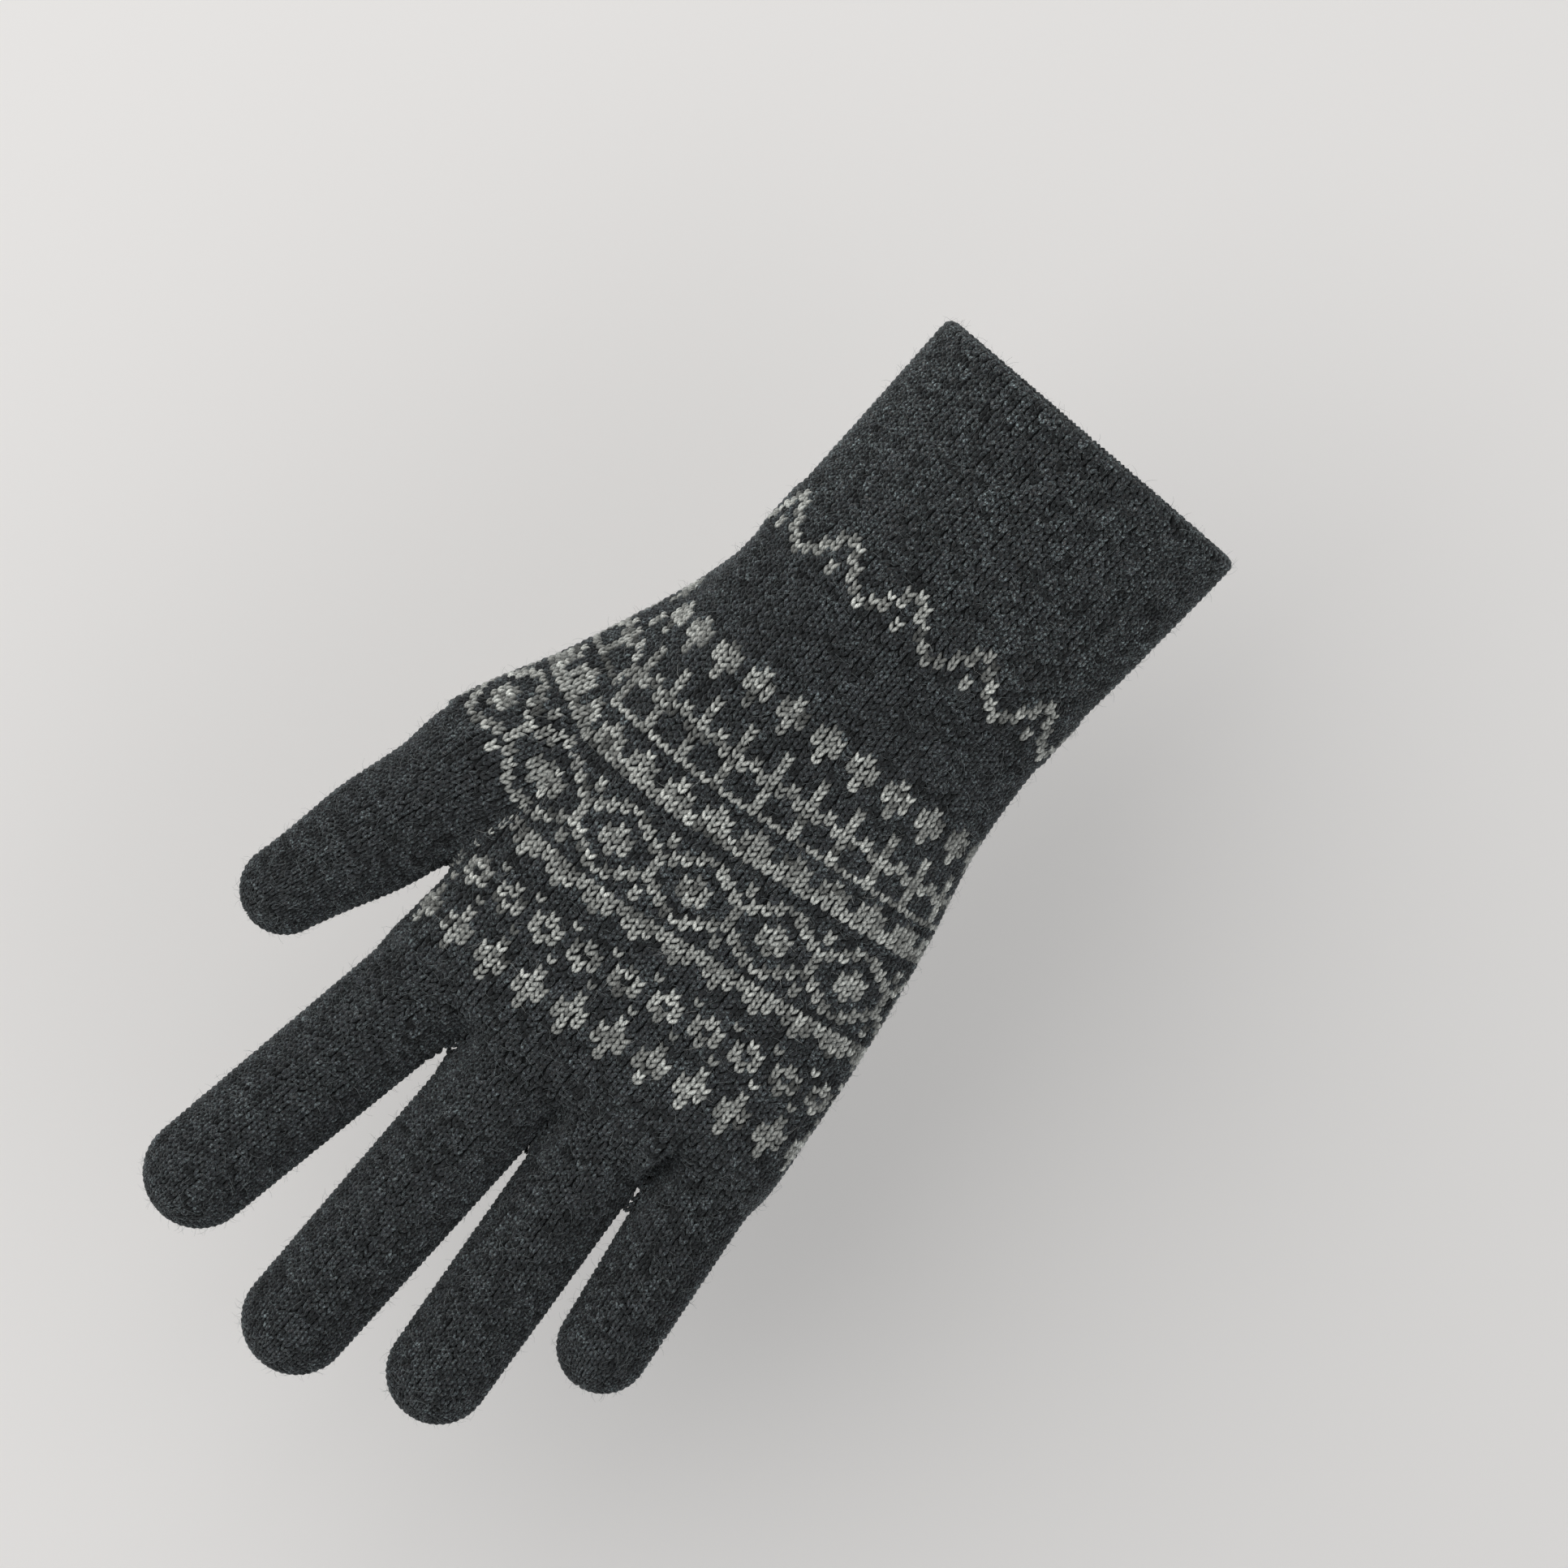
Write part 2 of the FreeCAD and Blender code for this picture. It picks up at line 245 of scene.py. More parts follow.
@dataclass
class TubeShape:
    """A finger or thumb: a round tapering tube with a rounded end, in millimetres."""

    name: str
    start: Array
    way: Array
    length: float
    root_radius: float
    tip_radius: float
    back: float
    fillet: float
    swells: tuple[tuple[float, float, float], ...] = ()

    @property
    def shoulder(self) -> float:
        """Where the rounded end begins."""
        return self.length - self.tip_radius

    def radius(self, along: Array) -> Array:
        """The tube's radius, with its swells.

        Args:
            along: distances from the tube's start.

        Returns:
            One radius for each distance.
        """
        t = np.clip(along, 0.0, self.shoulder) / self.shoulder
        radius = self.root_radius + (self.tip_radius - self.root_radius) * t
        for at, reach, amount in self.swells:
            radius = radius + amount * np.exp(-(((along - at) / reach) ** 2))
        return radius

    def along(self, p: Array) -> Array:
        """How far along the tube each point lies."""
        return (p - self.start) @ self.way

    def distance(self, p: Array) -> Array:
        """Distance from each point to the tube's surface, negative inside.

        Args:
            p: rows of x, y, z.

        Returns:
            One distance for each row.
        """
        s = np.clip(self.along(p), -self.back, self.shoulder)
        middle = self.start + s[:, None] * self.way
        return np.linalg.norm(p - middle, axis=1) - self.radius(s)

    def across(self) -> tuple[Array, Array]:
        """Two directions square to the tube: level, and up."""
        up = np.array([0.0, 0.0, 1.0])
        return np.cross(self.way, up), up

    def ring(self, along: float, count: int, turn: float = 0.0) -> Array:
        """Points evenly round the tube or its rounded end.

        Args:
            along: distance along the surface from the tube's start.
            count: how many points.
            turn: extra turn, as a share of one stitch.

        Returns:
            count rows of x, y, z.
        """
        level, up = self.across()
        angle = (np.arange(count) + 0.5 + turn) / count * 2 * np.pi
        if along <= self.shoulder:
            s = along
            r = float(self.radius(np.array([along]))[0])
        else:
            bend = min((along - self.shoulder) / self.tip_radius, math.pi / 2)
            s = self.shoulder + self.tip_radius * math.sin(bend)
            r = self.tip_radius * math.cos(bend)
        out = np.cos(angle)[:, None] * level + np.sin(angle)[:, None] * up
        return self.start + s * self.way + r * out

    @property
    def skin_length(self) -> float:
        """Length from the start to the very tip, measured along the surface."""
        return self.shoulder + self.tip_radius * math.pi / 2


@dataclass
class GloveShape:
    """The whole outer surface: the body, four fingers and the thumb, softly joined."""

    body: BodyShape
    tubes: dict[str, TubeShape]

    def whole(self, p: Array) -> Array:
        """Distance to everything joined together.

        Args:
            p: rows of x, y, z.

        Returns:
            One distance for each row.
        """
        d = self.body.distance(p)
        for tube in self.tubes.values():
            d = smooth_union(d, tube.distance(p), tube.fillet)
        return d

    def alone(self, *names: str) -> Callable[[Array], Array]:
        """The named tubes softly joined to the body, without their neighbours.

        Args:
            names: the tubes' names.

        Returns:
            A distance field.
        """
        tubes = [self.tubes[name] for name in names]

        def distance(p: Array) -> Array:
            """Distance from each point to the joined surface."""
            d = self.body.distance(p)
            for tube in tubes:
                d = smooth_union(d, tube.distance(p), tube.fillet)
            return d

        return distance

    def nearest_tube(self, p: Array) -> Array:
        """Distance to the nearest finger or thumb."""
        return np.min([t.distance(p) for t in self.tubes.values()], axis=0)


def slope_of(distance: Callable[[Array], Array], p: Array) -> Array:
    """The direction in which a distance field grows, by central differences.

    Args:
        distance: the distance field.
        p: rows of x, y, z.

    Returns:
        One direction for each row.
    """
    h = 0.05
    out = np.empty_like(p)
    for axis in range(3):
        step = np.zeros(3)
        step[axis] = h
        out[:, axis] = (distance(p + step) - distance(p - step)) / (2 * h)
    return out


def settle(distance: Callable[[Array], Array], p: Array, rounds: int = 5) -> tuple[Array, Array]:
    """Moves points onto the surface where the distance is zero.

    Args:
        distance: the distance field.
        p: points near the surface.
        rounds: how many steps to take.

    Returns:
        The moved points and the outward direction at each.
    """
    q = p.copy()
    for _ in range(rounds):
        g = slope_of(distance, q)
        g2 = np.maximum((g * g).sum(1, keepdims=True), 0.05)
        move = distance(q)[:, None] * g / g2
        size = np.linalg.norm(move, axis=1, keepdims=True)
        q = q - move * np.minimum(1.0, 2.0 / np.maximum(size, 1e-9))
    return q, unit(slope_of(distance, q))


# ------------------------------------------------------------------ the pattern


@dataclass(frozen=True)
class Band:
    """One band of the two-colour pattern: rows of 'X' for pale yarn, repeated round the glove."""

    starts_at: float
    rows: tuple[str, ...]


LOZENGE = ("..X.", "..X.", ".XXX", ".XXX", ".XXX", "..X.", "..X.")

HAND_BANDS = (
    Band(43.9, (
        "....X...",
        "...XXX..",
        "...X.X..",
        "..XX.XX.",
        "..X...X.",
        ".XX.X.XX",
        "XX..X..X",
        "X.......",
    )),
    Band(76.2, LOZENGE[:1] + LOZENGE[2:]),
    Band(86.4, ("X...", "X...", "X...")),
    Band(91.1, ("X.X.", "XXXX", "XX.X", "X...", "X...", "X...", "XXXX")),
    Band(102.9, ("..X.", ".XXX", ".XXX", "XXXX", "XXXX")),
    Band(112.2, (
        "X..XXX..",
        "X.XX.XX.",
        ".XX...XX",
        "XX..X..X",
        "X..XXX..",
        "X..XXX..",
        "X..XXX..",
        "XX..X..X",
        ".XX...XX",
        "X.XX.XX.",
        "X..XXX..",
    )),
    Band(130.4, ("XXXX", "XXXX", ".XXX", "..X.")),
    Band(138.2, ("..X.", "X...", "XX.X", ".X.X", "XX.X", "X...", "..X.")),
    Band(150.2, LOZENGE),
)


@dataclass(frozen=True)
class Chart:
    """Which yarn each stitch is knitted in."""

    bands: tuple[Band, ...]
    course: float

    def pale(self, along: float, wale: Array) -> Array:
        """1 where a stitch is pale.

        Args:
            along: the row's distance from the mouth before the rows slant.
            wale: the stitch's number in its row.

        Returns:
            One number for each stitch.
        """
        for band in self.bands:
            row = int(math.floor((along - band.starts_at) / self.course + 1e-6))
            if 0 <= row < len(band.rows):
                text = band.rows[row]
                on = np.array([c == "X" for c in text], float)
                return on[wale % len(text)]
        return np.zeros(len(wale))


# ------------------------------------------------------------------ where stitches go


@dataclass
class Sites:
    """Where stitches sit: one row for each stitch, in millimetres."""

    spot: Array = field(default_factory=lambda: np.zeros((0, 3)))
    out: Array = field(default_factory=lambda: np.zeros((0, 3)))
    way: Array = field(default_factory=lambda: np.zeros((0, 3)))
    size: Array = field(default_factory=lambda: np.zeros((0, 3)))
    yarn: Array = field(default_factory=lambda: np.zeros(0))

    def pick(self, keep: Array) -> "Sites":
        """The rows where keep is true."""
        return Sites(self.spot[keep], self.out[keep], self.way[keep], self.size[keep], self.yarn[keep])

    @staticmethod
    def joined(many: list["Sites"]) -> "Sites":
        """Several sets as one."""
        names = ("spot", "out", "way", "size", "yarn")
        return Sites(*(np.concatenate([getattr(sites, name) for sites in many]) for name in names))


def row_sites(spot: Array, out: Array, along: Array, wide: Array, tall: float, yarn: Array) -> Sites:
    """Makes one row's sites, with each stitch turned to lie in the surface.

    Args:
        spot: where each stitch sits.
        out: the outward direction at each.
        along: roughly the way its wale runs.
        wide: each stitch's width.
        tall: the row's height.
        yarn: 1 where a stitch is pale.

    Returns:
        The row's sites.
    """
    way = unit(along - (along * out).sum(1, keepdims=True) * out)
    count = len(spot)
    deep = np.full(count, 1.0)
    size = np.stack([np.broadcast_to(wide, count), np.full(count, tall), deep], axis=1)
    return Sites(spot, out, way, size, yarn)


# ------------------------------------------------------------------ finishes


@dataclass(frozen=True)
class WoolFinish:
    """Fuzzy wool yarn in two colours, with flecks, ply twist and a soft sheen."""

    name: str
    charcoal: tuple[float, float, float] = (0.0122, 0.0133, 0.0156)
    fleck: tuple[float, float, float] = (0.118, 0.146, 0.150)
    warm: tuple[float, float, float] = (0.100, 0.090, 0.074)
    pale: tuple[float, float, float] = (0.248, 0.252, 0.236)
    heather: float = 0.5
    roughness: float = 0.92
    sheen: float = 0.20

    def material(self) -> bpy.types.Material:
        """Builds the yarn material.

        Returns:
            A material that reads the stitches' yarn, tone and strand attributes.
        """
        mat = bpy.data.materials.new(self.name)
        mat.use_nodes = True
        tree = mat.node_tree
        nodes, links = tree.nodes, tree.links
        shader = nodes["Principled BSDF"]
        shader.inputs["Sheen Weight"].default_value = self.sheen
        shader.inputs["Sheen Roughness"].default_value = 0.55
        shader.inputs["Sheen Tint"].default_value = (0.80, 0.86, 0.88, 1)
        shader.inputs["Specular IOR Level"].default_value = 0.22
        shader.inputs["Roughness"].default_value = self.roughness
        group = nodes.new("ShaderNodeGroup")
        group.node_tree = YarnLook().group()
        group.inputs["Charcoal"].default_value = (*self.charcoal, 1)
        group.inputs["Fleck"].default_value = (*self.fleck, 1)
        group.inputs["Warm"].default_value = (*self.warm, 1)
        group.inputs["Pale"].default_value = (*self.pale, 1)
        group.inputs["Heather"].default_value = self.heather
        links.new(group.outputs["Color"], shader.inputs["Base Color"])
        bump = nodes.new("ShaderNodeBump")
        bump.inputs["Strength"].default_value = 0.55
        bump.inputs["Distance"].default_value = 0.00018
        links.new(group.outputs["Height"], bump.inputs["Height"])
        links.new(bump.outputs["Normal"], shader.inputs["Normal"])
        return mat


@dataclass(frozen=True)
class ShaderNet:
    """Adds linked nodes to a shader tree. Inputs are sockets or plain values."""

    tree: bpy.types.NodeTree

    def wire(self, socket: bpy.types.NodeSocket, value: object) -> None:
        """Links a socket to another one, or sets its plain value."""
        if isinstance(value, bpy.types.NodeSocket):
            self.tree.links.new(value, socket)
        else:
            socket.default_value = value

    def stored(self, name: str) -> bpy.types.Node:
        """A node that reads a value stored on the mesh."""
        node = self.tree.nodes.new("ShaderNodeAttribute")
        node.attribute_type = "GEOMETRY"
        node.attribute_name = name
        return node

    def noise(self, scale: float, detail: float, place: object) -> bpy.types.NodeSocket:
        """Soft noise.

        Args:
            scale: how fine it is.
            detail: how many finer layers it has.
            place: where it is read.

        Returns:
            The noise's strength.
        """
        node = self.tree.nodes.new("ShaderNodeTexNoise")
        node.inputs["Scale"].default_value = scale
        node.inputs["Detail"].default_value = detail
        node.inputs["Roughness"].default_value = 0.65
        self.wire(node.inputs["Vector"], place)
        return node.outputs["Fac"]

    def ranged(self, source: object, reads: tuple[float, float] = (0.0, 1.0),
               gives: tuple[float, float] = (0.0, 1.0), soft: bool = False) -> bpy.types.NodeSocket:
        """Turns one range of values into another.

        Args:
            source: the value read.
            reads: the range it is read in.
            gives: the range it becomes.
            soft: eases in and out instead of running straight.

        Returns:
            The new value.
        """
        node = self.tree.nodes.new("ShaderNodeMapRange")
        if soft:
            node.interpolation_type = "SMOOTHSTEP"
        for name, value in zip(("From Min", "From Max", "To Min", "To Max"), (*reads, *gives)):
            node.inputs[name].default_value = value
        self.wire(node.inputs["Value"], source)
        return node.outputs[0]

    def sum(self, kind: str, a: object, b: object = 0.0) -> bpy.types.NodeSocket:
        """One step of arithmetic.

        Args:
            kind: the step, such as ADD.
            a: the first value.
            b: the second value.

        Returns:
            The result.
        """
        node = self.tree.nodes.new("ShaderNodeMath")
        node.operation = kind
        self.wire(node.inputs[0], a)
        self.wire(node.inputs[1], b)
        return node.outputs[0]

    def gathered(self, kind: str, values: tuple) -> bpy.types.NodeSocket:
        """Makes one vector or colour from three values.

        Args:
            kind: the node that gathers them.
            values: the three values.

        Returns:
            The vector or colour.
        """
        node = self.tree.nodes.new(kind)
        for socket, value in zip(node.inputs, values):
            self.wire(socket, value)
        return node.outputs[0]

    def mix(self, factor: object, a: object, b: object, kind: str = "MIX") -> bpy.types.NodeSocket:
        """Mixes two colours.

        Args:
            factor: how much of the second shows.
            a: the first colour.
            b: the second colour.
            kind: the blend type.

        Returns:
            The mixed colour.
        """
        node = self.tree.nodes.new("ShaderNodeMix")
        node.data_type = "RGBA"
        node.blend_type = kind
        for at, value in ((0, factor), (6, a), (7, b)):
            self.wire(node.inputs[at], value)
        return node.outputs[2]


@dataclass(frozen=True)
class YarnLook:
    """How the yarn's colour varies, with painted shade on the legs' sides and in the hollows between
    stitches. Each range runs from the darkest gain to the lightest.
    """

    jump: float = 37.0
    fibre_run: float = 3.0
    fibre_twist: float = 1.6
    fibre_rows: float = 9.0
    ply_turns: float = 1.5
    ply_height: float = 0.5
    cool_scale: float = 2100.0
    warm_scale: float = 1.7
    drift_scale: float = 130.0
    drift: tuple[float, float] = (0.55, 1.35)
    tone: tuple[float, float] = (0.22, 2.05)
    fibre: tuple[float, float] = (0.25, 2.00)
    # painted shade: colour gain from the legs' sides and the ground (darkest) to their crests (lightest)
    crest_shade: tuple[float, float] = (0.16, 1.55)
    pale_shadow: float = 0.34

    def group(self) -> bpy.types.NodeTree:
        """The shared yarn colours, painted shade and ply relief.

        Returns:
            A shader node group with Color and Height outputs.
        """
        known = bpy.data.node_groups.get("yarn_colour")
        if known:
            return known
        tree = bpy.data.node_groups.new("yarn_colour", "ShaderNodeTree")
        face = tree.interface
        for name in ("Charcoal", "Fleck", "Warm", "Pale"):
            face.new_socket(name, in_out="INPUT", socket_type="NodeSocketColor")
        face.new_socket("Heather", in_out="INPUT", socket_type="NodeSocketFloat")
        face.new_socket("Color", in_out="OUTPUT", socket_type="NodeSocketColor")
        face.new_socket("Height", in_out="OUTPUT", socket_type="NodeSocketFloat")
        given = tree.nodes.new("NodeGroupInput").outputs
        out = tree.nodes.new("NodeGroupOutput")
        place = tree.nodes.new("ShaderNodeTexCoord").outputs["Object"]
        net = ShaderNet(tree)
        tone = net.stored("tone").outputs["Fac"]
        yarn = net.stored("yarn").outputs["Fac"]
        split = tree.nodes.new("ShaderNodeSeparateXYZ")
        net.wire(split.inputs[0], net.stored("strand").outputs["Vector"])
        run, across, crest_shade = split.outputs

        # stretched fibres along the yarn, offset differently in every stitch
        jump = net.sum("MULTIPLY", tone, self.jump)
        shifted = net.sum("ADD", net.sum("MULTIPLY", run, self.fibre_run), jump)
        around = net.sum("ADD", across, net.sum("MULTIPLY", run, self.fibre_twist))
        rows = net.sum("MULTIPLY", around, self.fibre_rows)
        fibre_at = net.gathered("ShaderNodeCombineXYZ", (shifted, rows, jump))
        fibre = net.noise(1.0, 3.0, fibre_at)

        # two plies twisted round each other
        ply = net.sum("SINE", net.sum("MULTIPLY", around, math.tau * self.ply_turns))

        # flecks of two colours and a slow heather drift
        cool_mask = net.ranged(net.noise(self.cool_scale, 2.0, place), (0.50, 0.64), soft=True)
        warm_mask = net.ranged(net.noise(self.warm_scale, 2.0, fibre_at), (0.55, 0.70), soft=True)
        drift = net.ranged(net.noise(self.drift_scale, 3.0, place), (0.32, 0.68), self.drift, soft=True)
        cool_amount = net.sum("MULTIPLY", net.sum("MULTIPLY", cool_mask, given["Heather"]), drift)
        warm_amount = net.sum("MULTIPLY", warm_mask, given["Heather"])
        cool = net.mix(cool_amount, given["Charcoal"], given["Fleck"])
        dark = net.mix(warm_amount, cool, given["Warm"])
        shadowed = net.mix(self.pale_shadow, given["Pale"], given["Fleck"])
        pale = net.mix(cool_mask, given["Pale"], shadowed)
        base = net.mix(yarn, dark, pale)

        # lighter and darker stitches and fibres, and painted shade: darker on the legs' sides and in the
        # hollows between the crests, lighter on the crests
        fibre_gain = net.ranged(fibre, (0.32, 0.68), self.fibre)
        gain = net.sum("MULTIPLY", net.ranged(tone, gives=self.tone), fibre_gain)
        gain = net.sum("MULTIPLY", gain, net.ranged(crest_shade, gives=self.crest_shade))
        shade = net.gathered("ShaderNodeCombineColor", (gain, gain, gain))
        net.wire(out.inputs["Color"], net.mix(1.0, base, shade, "MULTIPLY"))
        net.wire(out.inputs["Height"], net.sum("ADD", net.sum("MULTIPLY", ply, self.ply_height), fibre))
        return tree


@dataclass(frozen=True)
class FuzzFinish:
    """Loose fibres standing off the yarn."""

    name: str
    colour: tuple[float, float, float]
    roughness: float = 0.8

    def material(self) -> bpy.types.Material:
        """Builds a plain fibre material.

        Returns:
            The material.
        """
        mat = bpy.data.materials.new(self.name)
        mat.use_nodes = True
        shader = mat.node_tree.nodes["Principled BSDF"]
        shader.inputs["Base Color"].default_value = (*self.colour, 1)
        shader.inputs["Roughness"].default_value = self.roughness
        shader.inputs["Specular IOR Level"].default_value = 0.2
        return mat


# ------------------------------------------------------------------ meshes


def placed(name: str, data: bpy.types.ID) -> bpy.types.Object:
    """A new object at the origin, in the scene."""
    made = bpy.data.objects.new(name, data)
    bpy.context.scene.collection.objects.link(made)
    return made


def mesh_object(name: str, points: Array, faces: list, scale: float = MM) -> bpy.types.Object:
    """Makes an object at the origin.

    Args:
        name: the object's and the mesh's name.
        points: its points, in millimetres unless scale says otherwise.
        faces: the points of each face.
        scale: metres in one unit of the points.

    Returns:
        The object, in the scene.
    """
    mesh = bpy.data.meshes.new(name)
    mesh.from_pydata((points * scale).tolist(), [], faces)
    mesh.update()
    return placed(name, mesh)


def float_attribute(mesh: bpy.types.Mesh, name: str, kind: str, values: Array) -> None:
    """Stores one value for each vertex.

    Args:
        mesh: the mesh that gets it.
        name: the attribute's name.
        kind: FLOAT or FLOAT_VECTOR.
        values: one number, or one row of three, for each vertex.
    """
    slot = mesh.attributes.new(name, kind, "POINT")
    key = "vector" if kind == "FLOAT_VECTOR" else "value"
    slot.data.foreach_set(key, np.ascontiguousarray(values, np.float32).ravel())


@dataclass(frozen=True)
class StitchForm:
    """One knitted V, in a unit cell one wale wide and one course tall."""

    rings: int = 5
    sides: int = 4
    spread: float = 0.385
    pinch: float = 0.085
    reach: float = 0.80
    thick: float = 0.215
    lift: float = 0.62
    sink: float = 0.42
    base: float = -0.43
    gauge: Gauge = Gauge()

    def lean(self, side: int) -> float:
        """How far one leg leans from the wale, in radians."""
        inward = side * (self.pinch - self.spread) * self.gauge.wale * 0.6
        return math.atan2(inward, 2 * self.reach * self.gauge.course * 0.6)

    def build(self, name: str) -> bpy.types.Object:
        """Builds the two legs as rounded strips of yarn whose ends dip under their neighbours.

        Args:
            name: the object's name.

        Returns:
            A hidden object for instancing. Depth is in millimetres; the other sizes are unit sizes.
        """
        points: list[tuple[float, float, float]] = []
        strand: list[tuple[float, float, float]] = []
        faces: list[tuple[int, ...]] = []
        for side in (-1, 1):
            first = len(points)
            for i in range(self.rings):
                t = i / (self.rings - 1)
                bow = math.sin(math.pi * t)
                x = side * (self.spread + (self.pinch - self.spread) * smooth_step(np.array([t]))[0])
                y = -self.reach + 2 * self.reach * t
                r = self.thick * (0.30 + 0.70 * bow**0.7)
                z = -self.sink * (1 - bow**0.8) + self.base
                lean = self.lean(side)
                for k in range(self.sides + 1):
                    a = math.pi * (-0.12 + 1.24 * k / self.sides)
                    px = x + math.cos(a) * r * math.cos(lean)
                    py = y - math.cos(a) * r * math.sin(lean) * 1.4
                    pz = z + math.sin(a) * self.lift * (r / self.thick)
                    points.append((px, py, pz))
                    # painted shade: 1 on the top of the leg and falling towards its sides and ends, where
                    # the yarn colour is darkened as shade
                    crest_shade = max(0.0, math.sin(a)) * (0.35 + 0.65 * bow)
                    strand.append((t + (0.37 if side > 0 else 0.0), (k / self.sides) * side, crest_shade))
            for i in range(self.rings - 1):
                for k in range(self.sides):
                    a = first + i * (self.sides + 1) + k
                    b = a + self.sides + 1
                    faces.append((a, a + 1, b + 1, b))
        made = mesh_object(name, np.array(points), faces, scale=1.0)
        float_attribute(made.data, "strand", "FLOAT_VECTOR", np.array(strand))
        made.data.polygons.foreach_set("use_smooth", [True] * len(faces))
        made.hide_render = True
        return made


@dataclass(frozen=True)
class FibreForm:
    """One loose curly fibre, as a thin three-sided thread."""

    length: float = 3.0
    radius: float = 0.030
    parts: int = 3
    curl: float = 1.0

    def build(self, name: str, seed: int) -> bpy.types.Object:
        """Builds a fibre that starts just under the origin and wanders outwards.

        Args:
            name: the object's name.
            seed: sets which way the fibre wanders.

        Returns:
            A hidden object for instancing, in millimetres.
        """
        rng = np.random.default_rng(seed)
        heading = unit(np.array([rng.normal(), rng.normal(), 0.55]))
        here = np.array([0.0, 0.0, -0.25])
        points, faces = [], []
        bend = unit(rng.normal(size=3)) * self.curl
        for i in range(self.parts + 1):
            t = i / self.parts
            side = unit(np.cross(heading, [0.3, 0.2, 1.0]))
            other = np.cross(heading, side)
            r = self.radius * (1.0 - 0.6 * t)
            for k in range(3):
                a = 2 * math.pi * k / 3
                points.append(here + r * (math.cos(a) * side + math.sin(a) * other))
            here = here + heading * self.length / self.parts
            heading = unit(heading + bend * 0.75 + rng.normal(size=3) * 0.25 + [0, 0, -0.28])
        for i in range(self.parts):
            for k in range(3):
                a, b = i * 3 + k, i * 3 + (k + 1) % 3
                faces.append((a, b, b + 3, a + 3))
        faces.append((2, 1, 0))
        last = self.parts * 3
        faces.append((last, last + 1, last + 2))
        made = mesh_object(name, np.array(points), faces, scale=1.0)
        made.hide_render = True
        return made


# ------------------------------------------------------------------ geometry nodes


SCALES = ("Width Scale", "Height Scale", "Depth Scale")


def carried(tree: bpy.types.NodeTree, name: str, kind: str) -> bpy.types.NodeSocket:
    """Reads a value carried by the points.

    Args:
        tree: the tree that reads it.
        name: the value's name.
        kind: the value's type, such as INT.

    Returns:
        The socket that gives the value.
    """
    node = tree.nodes.new("GeometryNodeInputNamedAttribute")
    node.data_type = kind
    node.inputs["Name"].default_value = name
    return next(o for o in node.outputs if o.enabled and o.name == "Attribute")


def scatter_tree(name: str, forms: list[bpy.types.Object], finish: bpy.types.Material) -> bpy.types.NodeTree:
    """A Geometry Nodes tree that puts one of the forms at every point and joins the result.

    Args:
        name: the tree's name.
        forms: objects to place; the points' own form attribute picks one.
        finish: the material set on the result.

    Returns:
        The tree, with named sizes for the scale of the forms.
    """
    tree = bpy.data.node_groups.new(name, "GeometryNodeTree")
    face = tree.interface
    face.new_socket("Geometry", in_out="INPUT", socket_type="NodeSocketGeometry")
    for size in SCALES:
        socket = face.new_socket(size, in_out="INPUT", socket_type="NodeSocketFloat")
        socket.default_value = 1.0
    face.new_socket("Geometry", in_out="OUTPUT", socket_type="NodeSocketGeometry")
    nodes, links = tree.nodes, tree.links
    inp = nodes.new("NodeGroupInput")
    out = nodes.new("NodeGroupOutput")
    if len(forms) == 1:
        info = nodes.new("GeometryNodeObjectInfo")
        info.inputs["Object"].default_value = forms[0]
        info.inputs["As Instance"].default_value = True
        source = info.outputs["Geometry"]
    else:
        pool = nodes.new("GeometryNodeGeometryToInstance")
        for form in reversed(forms):
            info = nodes.new("GeometryNodeObjectInfo")
            info.inputs["Object"].default_value = form
            links.new(info.outputs["Geometry"], pool.inputs[0])
        source = pool.outputs[0]
    place = nodes.new("GeometryNodeInstanceOnPoints")
    links.new(inp.outputs["Geometry"], place.inputs["Points"])
    links.new(source, place.inputs["Instance"])
    if len(forms) > 1:
        place.inputs["Pick Instance"].default_value = True
        links.new(carried(tree, "form", "INT"), place.inputs["Instance Index"])
    links.new(carried(tree, "turn", "QUATERNION"), place.inputs["Rotation"])
    gains = nodes.new("ShaderNodeCombineXYZ")
    for socket, key in zip(gains.inputs, SCALES):
        links.new(inp.outputs[key], socket)
    scaled = nodes.new("ShaderNodeVectorMath")
    scaled.operation = "MULTIPLY"
    links.new(carried(tree, "cell", "FLOAT_VECTOR"), scaled.inputs[0])
    links.new(gains.outputs[0], scaled.inputs[1])
    links.new(scaled.outputs[0], place.inputs["Scale"])
    real = nodes.new("GeometryNodeRealizeInstances")
    links.new(place.outputs["Instances"], real.inputs["Geometry"])
    coat = nodes.new("GeometryNodeSetMaterial")
    coat.inputs["Material"].default_value = finish
    links.new(real.outputs["Geometry"], coat.inputs["Geometry"])
    links.new(coat.outputs["Geometry"], out.inputs["Geometry"])
    return tree


